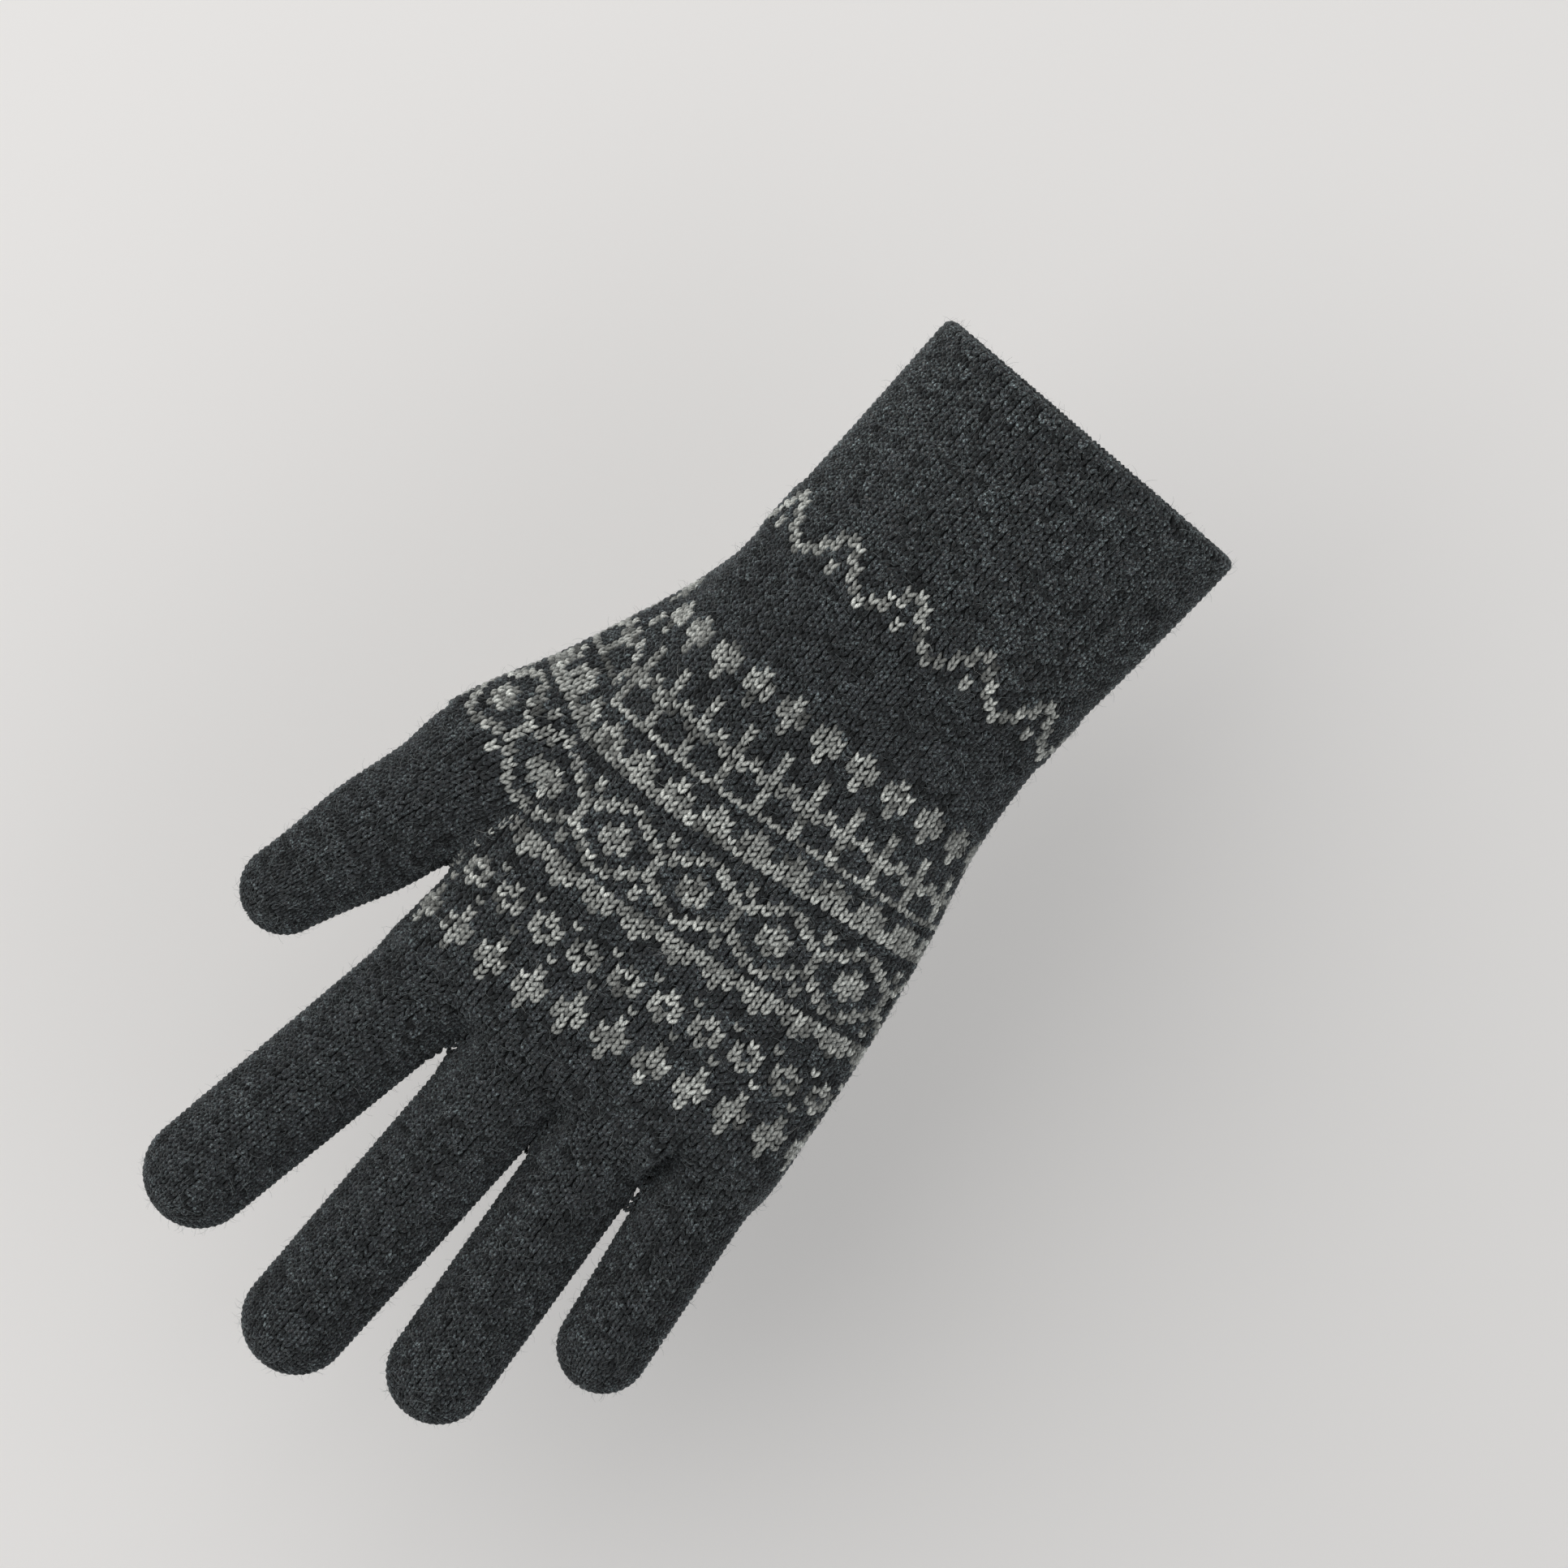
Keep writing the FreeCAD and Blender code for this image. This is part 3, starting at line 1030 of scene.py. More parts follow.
def turns_of(out: Array, way: Array) -> Array:
    """Turns a form's Z outwards and its Y along the wale.

    Args:
        out: the outward direction at each point.
        way: roughly the wale's direction.

    Returns:
        One quaternion for each point.
    """
    z = unit(out)
    y = unit(way - (way * z).sum(1, keepdims=True) * z)
    x = np.cross(y, z)
    m = np.stack([x, y, z], axis=2)
    w = np.sqrt(np.maximum(0, 1 + m[:, 0, 0] + m[:, 1, 1] + m[:, 2, 2])) / 2
    a = np.sqrt(np.maximum(0, 1 + m[:, 0, 0] - m[:, 1, 1] - m[:, 2, 2])) / 2
    b = np.sqrt(np.maximum(0, 1 - m[:, 0, 0] + m[:, 1, 1] - m[:, 2, 2])) / 2
    c = np.sqrt(np.maximum(0, 1 - m[:, 0, 0] - m[:, 1, 1] + m[:, 2, 2])) / 2
    a = np.copysign(a, m[:, 2, 1] - m[:, 1, 2])
    b = np.copysign(b, m[:, 0, 2] - m[:, 2, 0])
    c = np.copysign(c, m[:, 1, 0] - m[:, 0, 1])
    return unit(np.stack([w, a, b, c], axis=1))


@dataclass
class Knitter:
    """Turns sites into finished pieces: a close ground layer with real stitches on it."""

    stitch: bpy.types.Object
    fibres: list[bpy.types.Object]
    wool: dict[Wool, bpy.types.Material]
    fuzz: dict[Yarn, bpy.types.Material]
    rest: float
    fuzz_share: float = 0.80
    pale_fuzz_share: float = 0.8
    unevenness: float = 0.09
    tone: tuple[float, float] = (0.45, 0.22)
    # painted shade: the low tone that darkens the ground layer seen between the stitches
    ground_tone: float = 0.15
    hidden_below: float = -0.4
    rng: np.random.Generator = field(default_factory=lambda: np.random.default_rng(SEED))
    laid: list[Array] = field(default_factory=list)

    def moved(self, spot: Array) -> Array:
        """From distances along the glove to the part's own frame."""
        return spot - np.array([0.0, self.rest, 0.0])

    def ends(self, tube: TubeShape, *along: float) -> list[list[float]]:
        """Places on a tube's middle line, in metres in the part's own frame."""
        return [(self.moved(tube.start + tube.way * s) * MM).tolist() for s in along]

    def scatter(self, name: str, spot: Array, turn: Array, cell: Array, forms: list[bpy.types.Object],
                finish: bpy.types.Material, extra: dict[str, Array]) -> bpy.types.Object:
        """Places forms at points through Geometry Nodes and keeps the plain mesh.

        Args:
            name: the new object's name.
            spot: points in the part's frame, in millimetres.
            turn: one quaternion for each point.
            cell: width, height and depth scale for each point.
            forms: what to place.
            finish: the material.
            extra: other values carried to the mesh.

        Returns:
            An object at the origin with a plain mesh.
        """
        points = mesh_object(name + "_points", spot, [])
        mesh = points.data
        slot = mesh.attributes.new("turn", "QUATERNION", "POINT")
        slot.data.foreach_set("value", np.ascontiguousarray(turn, np.float32).ravel())
        float_attribute(mesh, "cell", "FLOAT_VECTOR", cell * MM)
        for key, values in extra.items():
            if key == "form":
                whole = mesh.attributes.new(key, "INT", "POINT")
                whole.data.foreach_set("value", values.astype(np.int32))
            else:
                float_attribute(mesh, key, "FLOAT", values)
        tree = scatter_tree(name + "_tree", forms, finish)
        modifier = points.modifiers.new("scatter", "NODES")
        modifier.node_group = tree
        for item in tree.interface.items_tree:
            if item.in_out == "INPUT" and item.name in SCALES:
                modifier[item.identifier] = 1.0
        graph = bpy.context.evaluated_depsgraph_get()
        plain = bpy.data.meshes.new_from_object(
            points.evaluated_get(graph), preserve_all_data_layers=True, depsgraph=graph
        )
        points.modifiers.clear()
        bpy.data.objects.remove(points)
        bpy.data.node_groups.remove(tree)
        for key in ("turn", "cell", "form"):
            if key in plain.attributes:
                plain.attributes.remove(plain.attributes[key])
        plain.name = name
        return placed(name, plain)

    def stitches(self, name: str, sites: Sites, wool: Wool) -> bpy.types.Object:
        """Knits one V at every site.

        Args:
            name: the new object's name.
            sites: where the stitches sit.
            wool: the finish they have.

        Returns:
            The stitches as one object.
        """
        count = len(sites.spot)
        wobble = self.rng.normal(size=(count, 3))
        way = unit(sites.way + self.unevenness * wobble * [1, 1, 0.3])
        cell = sites.size * (1 + 0.08 * wobble)
        middle, spread = self.tone
        tone = np.clip(middle + spread * self.rng.normal(size=count), 0, 1)
        shift = self.unevenness * self.rng.normal(size=(count, 1)) * np.cross(sites.way, sites.out)
        shift = shift + self.unevenness * self.rng.normal(size=(count, 1)) * sites.way
        return self.scatter(
            name, self.moved(sites.spot + shift), turns_of(sites.out, way), cell, [self.stitch],
            self.wool[wool], {"yarn": sites.yarn, "tone": tone},
        )

    def fluff(self, name: str, sites: Sites, yarn: Yarn) -> bpy.types.Object | None:
        """Stands loose fibres on a share of the sites.

        Args:
            name: the new object's name.
            sites: where the stitches sit.
            yarn: which stitches get fibres.

        Returns:
            The fibres as one object, or None where there are none.
        """
        pale = yarn is Yarn.PALE
        fits = sites.yarn > 0.5 if pale else sites.yarn < 0.5
        share = self.fuzz_share * (self.pale_fuzz_share if pale else 1.0)
        keep = fits & (self.rng.random(len(sites.spot)) < share)
        some = sites.pick(keep)
        count = len(some.spot)
        if count == 0:
            return None
        spin = self.rng.random(count) * 2 * np.pi
        side = np.cross(some.way, some.out)
        way = np.cos(spin)[:, None] * some.way + np.sin(spin)[:, None] * side
        jitter = self.rng.normal(size=(count, 1)) * 0.6 * side
        jitter = jitter + self.rng.normal(size=(count, 1)) * 0.4 * some.way
        grow = self.rng.uniform(0.5, 1.25, count)
        cell = np.stack([grow, grow, grow * 0.8], axis=1)
        form = self.rng.integers(0, len(self.fibres), count)
        return self.scatter(
            name, self.moved(some.spot + jitter), turns_of(some.out, way), cell, self.fibres,
            self.fuzz[yarn], {"form": form},
        )

    def ground(self, name: str, rings: list[Array], outs: list[Array], wool: Wool,
               keep: Callable[[Array, Array], Array] | None, depth: tuple[float, float] = (0.85, 1.75),
               closed: bool = False) -> bpy.types.Object:
        """The close layer under the stitches: two skins joined at both ends.

        Args:
            name: the new object's name.
            rings: points round the tube, one array for each row.
            outs: the outward direction at each of those points.
            wool: which wool finish it has.
            keep: says which faces stay, from their middles and first points; None keeps all.
            depth: how deep the two skins lie below the outer surface.
            closed: True if the last ring closes to a point.

        Returns:
            The object.
        """
        count = len(rings[0])
        upper = np.concatenate([r - depth[0] * o for r, o in zip(rings, outs)])
        lower = np.concatenate([r - depth[1] * o for r, o in zip(rings, outs)])
        points = np.concatenate([upper, lower])
        shift = len(upper)
        faces: list[tuple[int, ...]] = []
        middles = []
        for i in range(len(rings) - 1):
            for k in range(count):
                a, b = i * count + k, i * count + (k + 1) % count
                quad = (a, b, b + count, a + count)
                faces.append(quad)
                middles.append(upper[list(quad)].mean(0))
        firsts = np.array([quad[0] for quad in faces])
        stay = np.ones(len(faces), bool) if keep is None else keep(np.array(middles), firsts)
        final = []
        for quad, ok in zip(faces, stay):
            if ok:
                final.append(quad)
                final.append(tuple(v + shift for v in reversed(quad)))
        last = (len(rings) - 1) * count
        for k in range(count):
            a, b = k, (k + 1) % count
            final.append((a + shift, b + shift, b, a))
            if not closed:
                a, b = a + last, b + last
                final.append((a, b, b + shift, a + shift))
        if closed:
            final.append(tuple(range(last, last + count)))
            final.append(tuple(reversed(range(last + shift, last + shift + count))))
        made = mesh_object(name, self.moved(points), final)
        mesh = made.data
        total = len(mesh.vertices)
        # painted shade: the ground gets a low tone and no crest, so it is coloured much darker than the
        # yarn, as shade between the stitches
        float_attribute(mesh, "strand", "FLOAT_VECTOR", np.zeros((total, 3)))
        float_attribute(mesh, "yarn", "FLOAT", np.zeros(total))
        float_attribute(mesh, "tone", "FLOAT", np.full(total, self.ground_tone))
        mesh.polygons.foreach_set("use_smooth", [True] * len(mesh.polygons))
        mesh.materials.append(self.wool[wool])
        return made

    def join(self, name: str, parts: list[bpy.types.Object | None]) -> bpy.types.Object:
        """Joins parts into one.

        Args:
            name: the joined object's name.
            parts: what to join; None is passed over.

        Returns:
            The joined object.
        """
        real = [p for p in parts if p is not None]
        first = real[0]
        with bpy.context.temp_override(
            active_object=first, object=first, selected_objects=real, selected_editable_objects=real
        ):
            bpy.ops.object.join()
        first.name = name
        first.data.name = name
        return first

    def filled(self, sites: Sites, spare: Sites, surface: Callable[[Array], Array],
               reach: float = 1.15) -> Sites:
        """Adds the spare stitches that lie where no stitch shows yet.

        Args:
            sites: the piece's own stitches.
            spare: stitches to fill gaps with.
            surface: distance to the glove's outside, below which a stitch doesn't show.
            reach: how near another stitch may be, in millimetres.

        Returns:
            The piece's own stitches and the ones that fill gaps.
        """
        laid = np.concatenate([*self.laid, sites.spot])
        laid = laid[surface(laid) > self.hidden_below]
        if len(spare.spot):
            near = (laid > spare.spot.min(axis=0) - reach) & (laid < spare.spot.max(axis=0) + reach)
            laid = laid[near.all(axis=1)]
        keep = np.zeros(len(spare.spot), bool)
        for i, spot in enumerate(spare.spot):
            nearest = np.min(np.linalg.norm(laid - spot, axis=1), initial=np.inf)
            taken = spare.spot[keep]
            if len(taken):
                nearest = min(nearest, np.min(np.linalg.norm(taken - spot, axis=1)))
            keep[i] = nearest > reach
        return Sites.joined([sites, spare.pick(keep)])

    def piece(self, name: str, sites: Sites, wool: Wool, ground: bpy.types.Object) -> bpy.types.Object:
        """Knits a whole piece: ground, stitches and fuzz.

        Args:
            name: the piece's name.
            sites: where its stitches sit.
            wool: the finish they have.
            ground: the close layer under them.

        Returns:
            One object, ready to ride or blend.
        """
        parts = [
            self.stitches(name + "_v", sites, wool),
            ground,
            self.fluff(name + "_fd", sites, Yarn.CHARCOAL),
            self.fluff(name + "_fp", sites, Yarn.PALE),
        ]
        made = self.join(name, parts)
        self.laid.append(sites.spot)
        log.info("%s: %d stitches, %d faces", name, len(sites.spot), len(made.data.polygons))
        return made


# ------------------------------------------------------------------ the glove


@dataclass
class BodyKnit:
    """Rows of stitches round the cuff and hand, and their ground."""

    shape: GloveShape
    gauge: Gauge
    chart: Chart
    wales: int = 88
    lip: float = 2.0
    layer: float = 4.0
    hem: float = 46.0
    end_reach: float = 8.5
    wrist_end: float = 71.0
    ground_step: float = 1.8
    wide: tuple[float, float] = (1.4, 3.0)
    buried: float = -0.35
    furthest: float = 4.5
    slant_at: tuple[float, ...] = (0.0, 62.0, 82.0, 105.0, 120.0, 171.0)
    slant: tuple[float, ...] = (0.0, 0.0, 0.03, 0.15, 0.16, 0.15)

    def row_points(self, along: float) -> tuple[Array, Array, Array]:
        """One row round the body before it is settled.

        Rows dip towards the little finger, and past the start of the rounded end they bend over
        it until they close between the fingers.

        Args:
            along: the row's distance from the mouth before it slants.

        Returns:
            The points, how far each has bent over the end in radians, and the wale's direction.
        """
        body = self.shape.body
        ring = body.ring(min(along, body.length), 0.0, self.wales)
        tilt = float(np.interp(along, self.slant_at, self.slant))
        x = ring[:, 0]
        eased = np.where(x > 8, 8 + 10 * np.tanh((x - 8) / 10), x)
        y = along + tilt * eased
        limit = body.end(x) - body.end_round
        bend = np.maximum(y - limit, 0.0) / self.end_reach
        base = np.minimum(y, limit)
        m, a, c, b, _ = body.section(base)
        m0, a0, c0, b0, _ = (float(v[0]) for v in body.section(np.array([min(along, body.length)])))
        turned = np.minimum(bend, math.pi / 2)
        up = c + (ring[:, 2] - c0) * b / b0
        spot = np.stack([
            m + (x - m0) * a / a0,
            base + body.end_round * np.sin(turned),
            c + (up - c) * np.cos(turned),
        ], axis=1)
        lean = -np.sign(up - c)
        way = np.stack([np.zeros_like(x), np.cos(turned), lean * np.sin(turned)], axis=1)
        return spot, bend, way

    def outer_row(self, along: float) -> tuple[Array, Array]:
        """One row on the outer surface, settled on the joined shape."""
        spot, _, _ = self.row_points(along)
        return settle(self.shape.whole if along > 55 else self.shape.body.distance, spot)

    def outer_sites(self, low: float, high: float) -> Sites:
        """All stitches on the outside.

        Args:
            low: distance from the mouth where the rows start.
            high: distance from the mouth where they stop.

        Returns:
            The stitches' sites.
        """
        rows = []
        along = self.gauge.course * math.ceil(low / self.gauge.course - 1e-6)
        while along < high - 1e-6:
            rows.append(self.one_row(along))
            along += self.gauge.course
        return Sites.joined(rows)

    def one_row(self, along: float) -> Sites:
        """One row of stitches on the outside, without those under the fingers and thumb.

        Args:
            along: the row's distance from the mouth before it slants.

        Returns:
            The row's sites.
        """
        raw, bend, way = self.row_points(along)
        spot, out = self.outer_row(along)
        wide = np.clip(pitch(spot), *self.wide)
        yarn = self.chart.pale(along, np.arange(self.wales))
        sites = row_sites(spot, out, way, wide, self.gauge.course, yarn)
        hidden = self.shape.nearest_tube(raw) < self.buried
        far = np.linalg.norm(spot - raw, axis=1) > self.furthest
        past_wrist = spot[:, 1] > self.wrist_end
        return sites.pick(~(((hidden | far) & past_wrist) | (bend > math.pi / 2 + 0.04)))

    def lip_sites(self) -> Sites:
        """Stitches round the folded edge.

        Returns:
            Their sites.
        """
        rows = []
        turns = 5
        body = self.shape.body
        for i in range(turns):
            bend = math.pi * (i + 0.5) / turns
            inset = self.lip - self.lip * math.cos(bend)
            along = self.lip - self.lip * math.sin(bend)
            ring = body.ring(along, inset, self.wales)
            ring[:, 1] = along
            middle = body.ring(self.lip, self.lip, self.wales)
            middle[:, 1] = self.lip
            out = unit(ring - middle)
            core = body.section(np.array([along]))
            centre = np.array([core[0][0], along, core[2][0]])
            outward = unit((ring - centre) * [1, 0, 1])
            way = np.array([0.0, 1.0, 0.0]) * math.cos(bend) + outward * math.sin(bend)
            tall = self.gauge.course * 0.9
            rows.append(row_sites(ring, out, way, pitch(ring), tall, np.zeros(self.wales)))
        return Sites.joined(rows)

    def inner_sites(self) -> Sites:
        """Stitches on the turned-in layer, seen from inside the cuff.

        Returns:
            Their sites.
        """
        rows = []
        body = self.shape.body
        along = self.lip + 0.5 * self.gauge.course
        while along < self.hem:
            ring = body.ring(along, self.layer, self.wales)
            outer = body.ring(along, 0.0, self.wales)
            out = unit(ring - outer)
            way = np.tile([0.0, -1.0, 0.0], (self.wales, 1))
            rows.append(row_sites(ring, out, way, pitch(ring), self.gauge.course, np.zeros(self.wales)))
            along += self.gauge.course
        return Sites.joined(rows)

    def outer_ground(self, knitter: Knitter, name: str, low: float, high: float,
                     wool: Wool) -> bpy.types.Object:
        """The close layer under the outer stitches.

        Args:
            knitter: makes the layer.
            name: the layer's name.
            low: distance from the mouth where it starts.
            high: distance from the mouth where it stops.
            wool: the finish it has.

        Returns:
            The layer.
        """
        stops = np.linspace(low, high, max(3, int((high - low) / self.ground_step)) + 1)
        rows = [self.outer_row(float(s)) for s in stops]
        middles = np.concatenate([self.row_points(float(s))[0] for s in stops])

        def keep(p: Array, at: Array) -> Array:
            """Drops the faces inside the fingers and thumb, except at the wrist."""
            clear = (self.shape.nearest_tube(middles[at]) > -2.2) & (self.shape.nearest_tube(p) > -2.6)
            return clear | (p[:, 1] < self.wrist_end + 1.0)

        return knitter.ground(name, [r[0] for r in rows], [r[1] for r in rows], wool, keep)

    def inner_ground(self, knitter: Knitter, name: str, low: float, high: float,
                     wool: Wool) -> bpy.types.Object:
        """The close layer of the turned-in cuff, open at the mouth.

        Args:
            knitter: makes the layer.
            name: the layer's name.
            low: distance from the mouth where it starts.
            high: distance from the mouth where it stops.
            wool: the finish it has.

        Returns:
            The layer.
        """
        body = self.shape.body
        rings, outs = [], []
        for along in np.linspace(low, high, 9):
            ring = body.ring(float(along), self.layer, self.wales)
            outer = body.ring(float(along), 0.0, self.wales)
            rings.append(ring[::-1])
            outs.append(unit(ring - outer)[::-1])
        return knitter.ground(name, rings, outs, wool, None, depth=(0.8, 1.7))


@dataclass
class DigitKnit:
    """Rows of stitches round one finger or the thumb."""

    shape: GloveShape
    tube: TubeShape
    gauge: Gauge
    wales: int
    first: float
    last: float = 1000.0
    chart: Chart | None = None
    joined_to: tuple[str, ...] = ()
    begins_at: float = -1000.0
    narrowest: float = 0.9
    bare_depth: float = 0.15
    root_reach: float = 8.0
    ground_step: float = 1.8
    ground_depth: float = 3.0
    ground_wales: int = 28
    neighbours_within: float = 26.0

    def rows(self) -> list[tuple[float, int, float]]:
        """The rows from the root to the tip, with fewer stitches as the tube closes.

        Returns:
            Each row's distance along the surface, its number of stitches and its turn in stitches.
        """
        out = []
        along = self.first
        count = self.wales
        turn = 0.0
        tightest = 0.62 * self.gauge.wale * min(1.0, self.tube.tip_radius / 9.5)
        while along < min(self.last, self.tube.skin_length - 0.4 * self.gauge.course):
            over = max(0.0, along - self.tube.shoulder) / self.tube.tip_radius
            radius = float(self.tube.radius(np.array([along]))[0])
            around = 2 * math.pi * radius * math.cos(min(over, 1.56))
            while count > 4 and around / count < tightest:
                count = max(4, int(count * 0.72))
                turn += 0.5
            out.append((along, count, turn))
            along += self.gauge.course
        return out

    def sites(self, low: float, high: float, spare: bool = False) -> Sites:
        """All stitches between two distances along the surface.

        Args:
            low: distance along the surface where the rows start.
            high: distance along the surface where they stop.
            spare: makes those round the finger's root instead, to fill gaps with.

        Returns:
            The stitches' sites.
        """
        made = []
        distance = self.shape.alone(*self.joined_to, self.tube.name)
        if spare:
            distance = self.shape.whole
        for along, count, turn in self.rows():
            if not low <= along < high:
                continue
            raw = self.tube.ring(along, count, turn=turn)
            spot, out = settle(distance, raw)
            wide = np.maximum(pitch(raw), self.narrowest)
            way = np.tile(self.tube.way, (count, 1))
            if along > self.tube.shoulder + 0.3:
                bend = (along - self.tube.shoulder) / self.tube.tip_radius
                centre = self.tube.start + self.tube.way * self.tube.shoulder
                radial = unit(raw - centre)
                flat = unit(radial - (radial @ self.tube.way)[:, None] * self.tube.way)
                way = way * math.cos(bend) - flat * math.sin(bend)
            if self.chart is None:
                yarn = np.zeros(count)
            else:
                mouth_side = self.tube.start[1] + self.tube.way[1] * along
                yarn = self.chart.pale(mouth_side, np.arange(count))
            sites = row_sites(spot, out, way, wide, self.gauge.course, yarn)
            depth = -self.shape.body.distance(raw)
            keep = np.abs(depth) < self.root_reach if spare else depth < self.bare_depth
            made.append(sites.pick(keep & (spot[:, 1] > self.begins_at)))
        return Sites.joined(made)

    def web_sites(self) -> Sites:
        """Spare stitches over the webs between this finger and the ones beside it.

        Returns:
            Their sites.
        """
        made = []
        steps = np.meshgrid(
            np.arange(-3.0, 3.1, 1.5), np.arange(-4.0, 12.1, 1.3), np.arange(-12.0, 12.1, 1.5),
        )
        lattice = np.stack([step.ravel() for step in steps], axis=1)
        for other in self.shape.tubes.values():
            apart = np.linalg.norm(other.start - self.tube.start)
            if other is self.tube or apart > self.neighbours_within:
                continue
            spot, out = settle(self.shape.whole, lattice + (self.tube.start + other.start) / 2)
            count = len(spot)
            way = np.tile(self.tube.way, (count, 1))
            wide = np.full(count, 2.0)
            sites = row_sites(spot, out, way, wide, self.gauge.course, np.zeros(count))
            made.append(sites.pick(np.abs(self.shape.whole(spot)) < 0.05))
        return Sites.joined(made)

    def ground(self, knitter: Knitter, name: str, low: float, high: float, wool: Wool) -> bpy.types.Object:
        """The close layer under the stitches.

        Args:
            knitter: makes the layer.
            name: the layer's name.
            low: distance along the surface where it starts.
            high: distance along the surface where it stops.
            wool: the finish it has.

        Returns:
            The layer.
        """
        distance = self.shape.alone(*self.joined_to, self.tube.name)
        stops = np.linspace(low, high, max(3, int((high - low) / self.ground_step)) + 1)
        rings, outs = [], []
        for along in stops:
            ring, out = settle(distance, self.tube.ring(float(along), self.ground_wales))
            rings.append(ring)
            outs.append(out)

        def keep(p: Array, at: Array) -> Array:
            """Drops the faces deep inside the hand and those before the first row."""
            return (self.shape.body.distance(p) > -self.ground_depth) & (p[:, 1] > self.begins_at - 1.5)

        closed = high > self.tube.shoulder + self.tube.tip_radius
        return knitter.ground(name, rings, outs, wool, keep, closed=closed)


@dataclass
class Cuff:
    """The folded cuff: outer layer, folded edge, turned-in layer and its seam."""

    knit: BodyKnit
    knitter: Knitter
    wrist_start: float = 48.5
    half: float = 25.0
    edge: float = 0.8
    seam_depth: float = 2.9
    seam_stitches: int = 64

    def build(self) -> None:
        """Makes the cuff's layers, each in two bands of rows, and the seam."""
        knit = self.knit
        inner = knit.inner_sites()
        near = inner.spot[:, 1] < self.half
        folded = Sites.joined([inner.pick(near), knit.lip_sites()])
        layers = (
            ("outer", "mouth", knit.outer_sites(knit.lip, self.half), self.edge, self.half),
            ("outer", "wrist", knit.outer_sites(self.half, self.wrist_start), self.half, self.wrist_start),
            ("inner", "mouth", folded, self.edge, self.half),
            ("inner", "wrist", inner.pick(~near), self.half, knit.hem),
        )
        for layer, part, sites, low, high in layers:
            name = f"cuff_{layer}_knit_{part}"
            make_ground = knit.outer_ground if layer == "outer" else knit.inner_ground
            ground = make_ground(self.knitter, name + "_ground", low, high, Wool.CUFF)
            made = self.knitter.piece(name, sites, Wool.CUFF, ground)
            self.fasten(made, f"cuff_{layer}_layer")
        self.fasten(self.seam(), "cuff_hem_seam")

    def fasten(self, made: bpy.types.Object, node: str) -> None:
        """Fastens a piece to the cuff in place of its plain solid.

        Args:
            made: the piece.
            node: the plain solid it replaces.
        """
        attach(made, "cuff")
        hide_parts(node)

    def seam(self) -> bpy.types.Object:
        """A row of slanting stitches that holds the turned-in edge to the wrist.

        Returns:
            The seam as one object.
        """
        body = self.knit.shape.body
        count = self.seam_stitches
        ring = body.ring(self.knit.hem + self.edge, self.seam_depth, count)
        outer = body.ring(self.knit.hem + self.edge, 0.0, count)
        out = unit(ring - outer)
        side = unit(np.roll(ring, -1, axis=0) - np.roll(ring, 1, axis=0))
        way = unit(np.array([0.0, 1.0, 0.0]) + 0.6 * side)
        sites = row_sites(ring, out, way, np.full(count, 2.4), 1.7, np.zeros(count))
        return self.knitter.stitches("cuff_seam_yarn", sites, Wool.PLAIN)


@dataclass
class Hand:
    """The patterned hand, from the wrist to the finger roots."""

    knit: BodyKnit
    knitter: Knitter
    wrist: tuple[float, float] = (48.5, 71.0)
    splits: tuple[float, ...] = (71.0, 97.0, 124.0, 149.0, 186.0)
    hinge_height: float = 0.02

    def build(self) -> None:
        """Makes the wrist and the hand in four bands of rows."""
        low, high = self.wrist
        ground = self.knit.outer_ground(self.knitter, "wrist_ground", low, high, Wool.HAND)
        wrist = self.knitter.piece("wrist_knit", self.knit.outer_sites(low, high), Wool.HAND, ground)
        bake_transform(wrist)
        names = ("hand_knit_low", "hand_knit_middle", "hand_knit_upper", "hand_knit_knuckles")
        for name, low, high in zip(names, self.splits, self.splits[1:]):
            ground = self.knit.outer_ground(self.knitter, name + "_ground", low, high, Wool.HAND)
            made = self.knitter.piece(name, self.knit.outer_sites(low, high), Wool.HAND, ground)
            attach(made, "hand")
            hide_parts("hand_tube")


@dataclass
class Digit:
    """One finger: a plain knitted tube made in three pieces, cut midway between its knuckles."""

    knit: DigitKnit
    knitter: Knitter
    joints: tuple[float, float, float]
    bodies: tuple[str, str, str, str]
    longest: tuple[float, float] = (14.0, 9.0)

    def build(self) -> None:
        """Makes the root, middle and end pieces, cut midway between the knuckles."""
        name = self.knit.tube.name
        knuckle, middle, tip = self.joints
        cut_a = (knuckle + middle) / 2
        cut_b = (middle + tip) / 2
        end = self.knit.tube.skin_length
        at_base = min(cut_a - 0.5, self.longest[0])
        at_middle = min(cut_b - middle, middle - cut_a) - 0.3
        at_tip = min(tip - cut_b, self.longest[1])
        plan = (
            ("base", self.knit.first, cut_a, 0.0, at_base, (name + "_base",)),
            ("middle", cut_a, cut_b, middle - at_middle, middle + at_middle, (name + "_middle",)),
            ("tip", cut_b, end, tip - at_tip, tip + at_tip, (name + "_tip", name + "_drawn_tip")),
        )
        for i, (part, low, high, start, stop, nodes) in enumerate(plan):
            label = f"{name}_{part}_knit"
            ground = self.knit.ground(self.knitter, label + "_ground", low, high, Wool.PLAIN)
            sites = self.knit.sites(low, high)
            spare = self.knit.sites(low, high, spare=True)
            if part == "base":
                spare = Sites.joined([spare, self.knit.web_sites()])
            sites = self.knitter.filled(sites, spare, self.knit.shape.whole)
            made = self.knitter.piece(label, sites, Wool.PLAIN, ground)
            start_at, stop_at = self.knitter.ends(self.knit.tube, start, stop)
            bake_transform(made)
            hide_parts(*nodes)


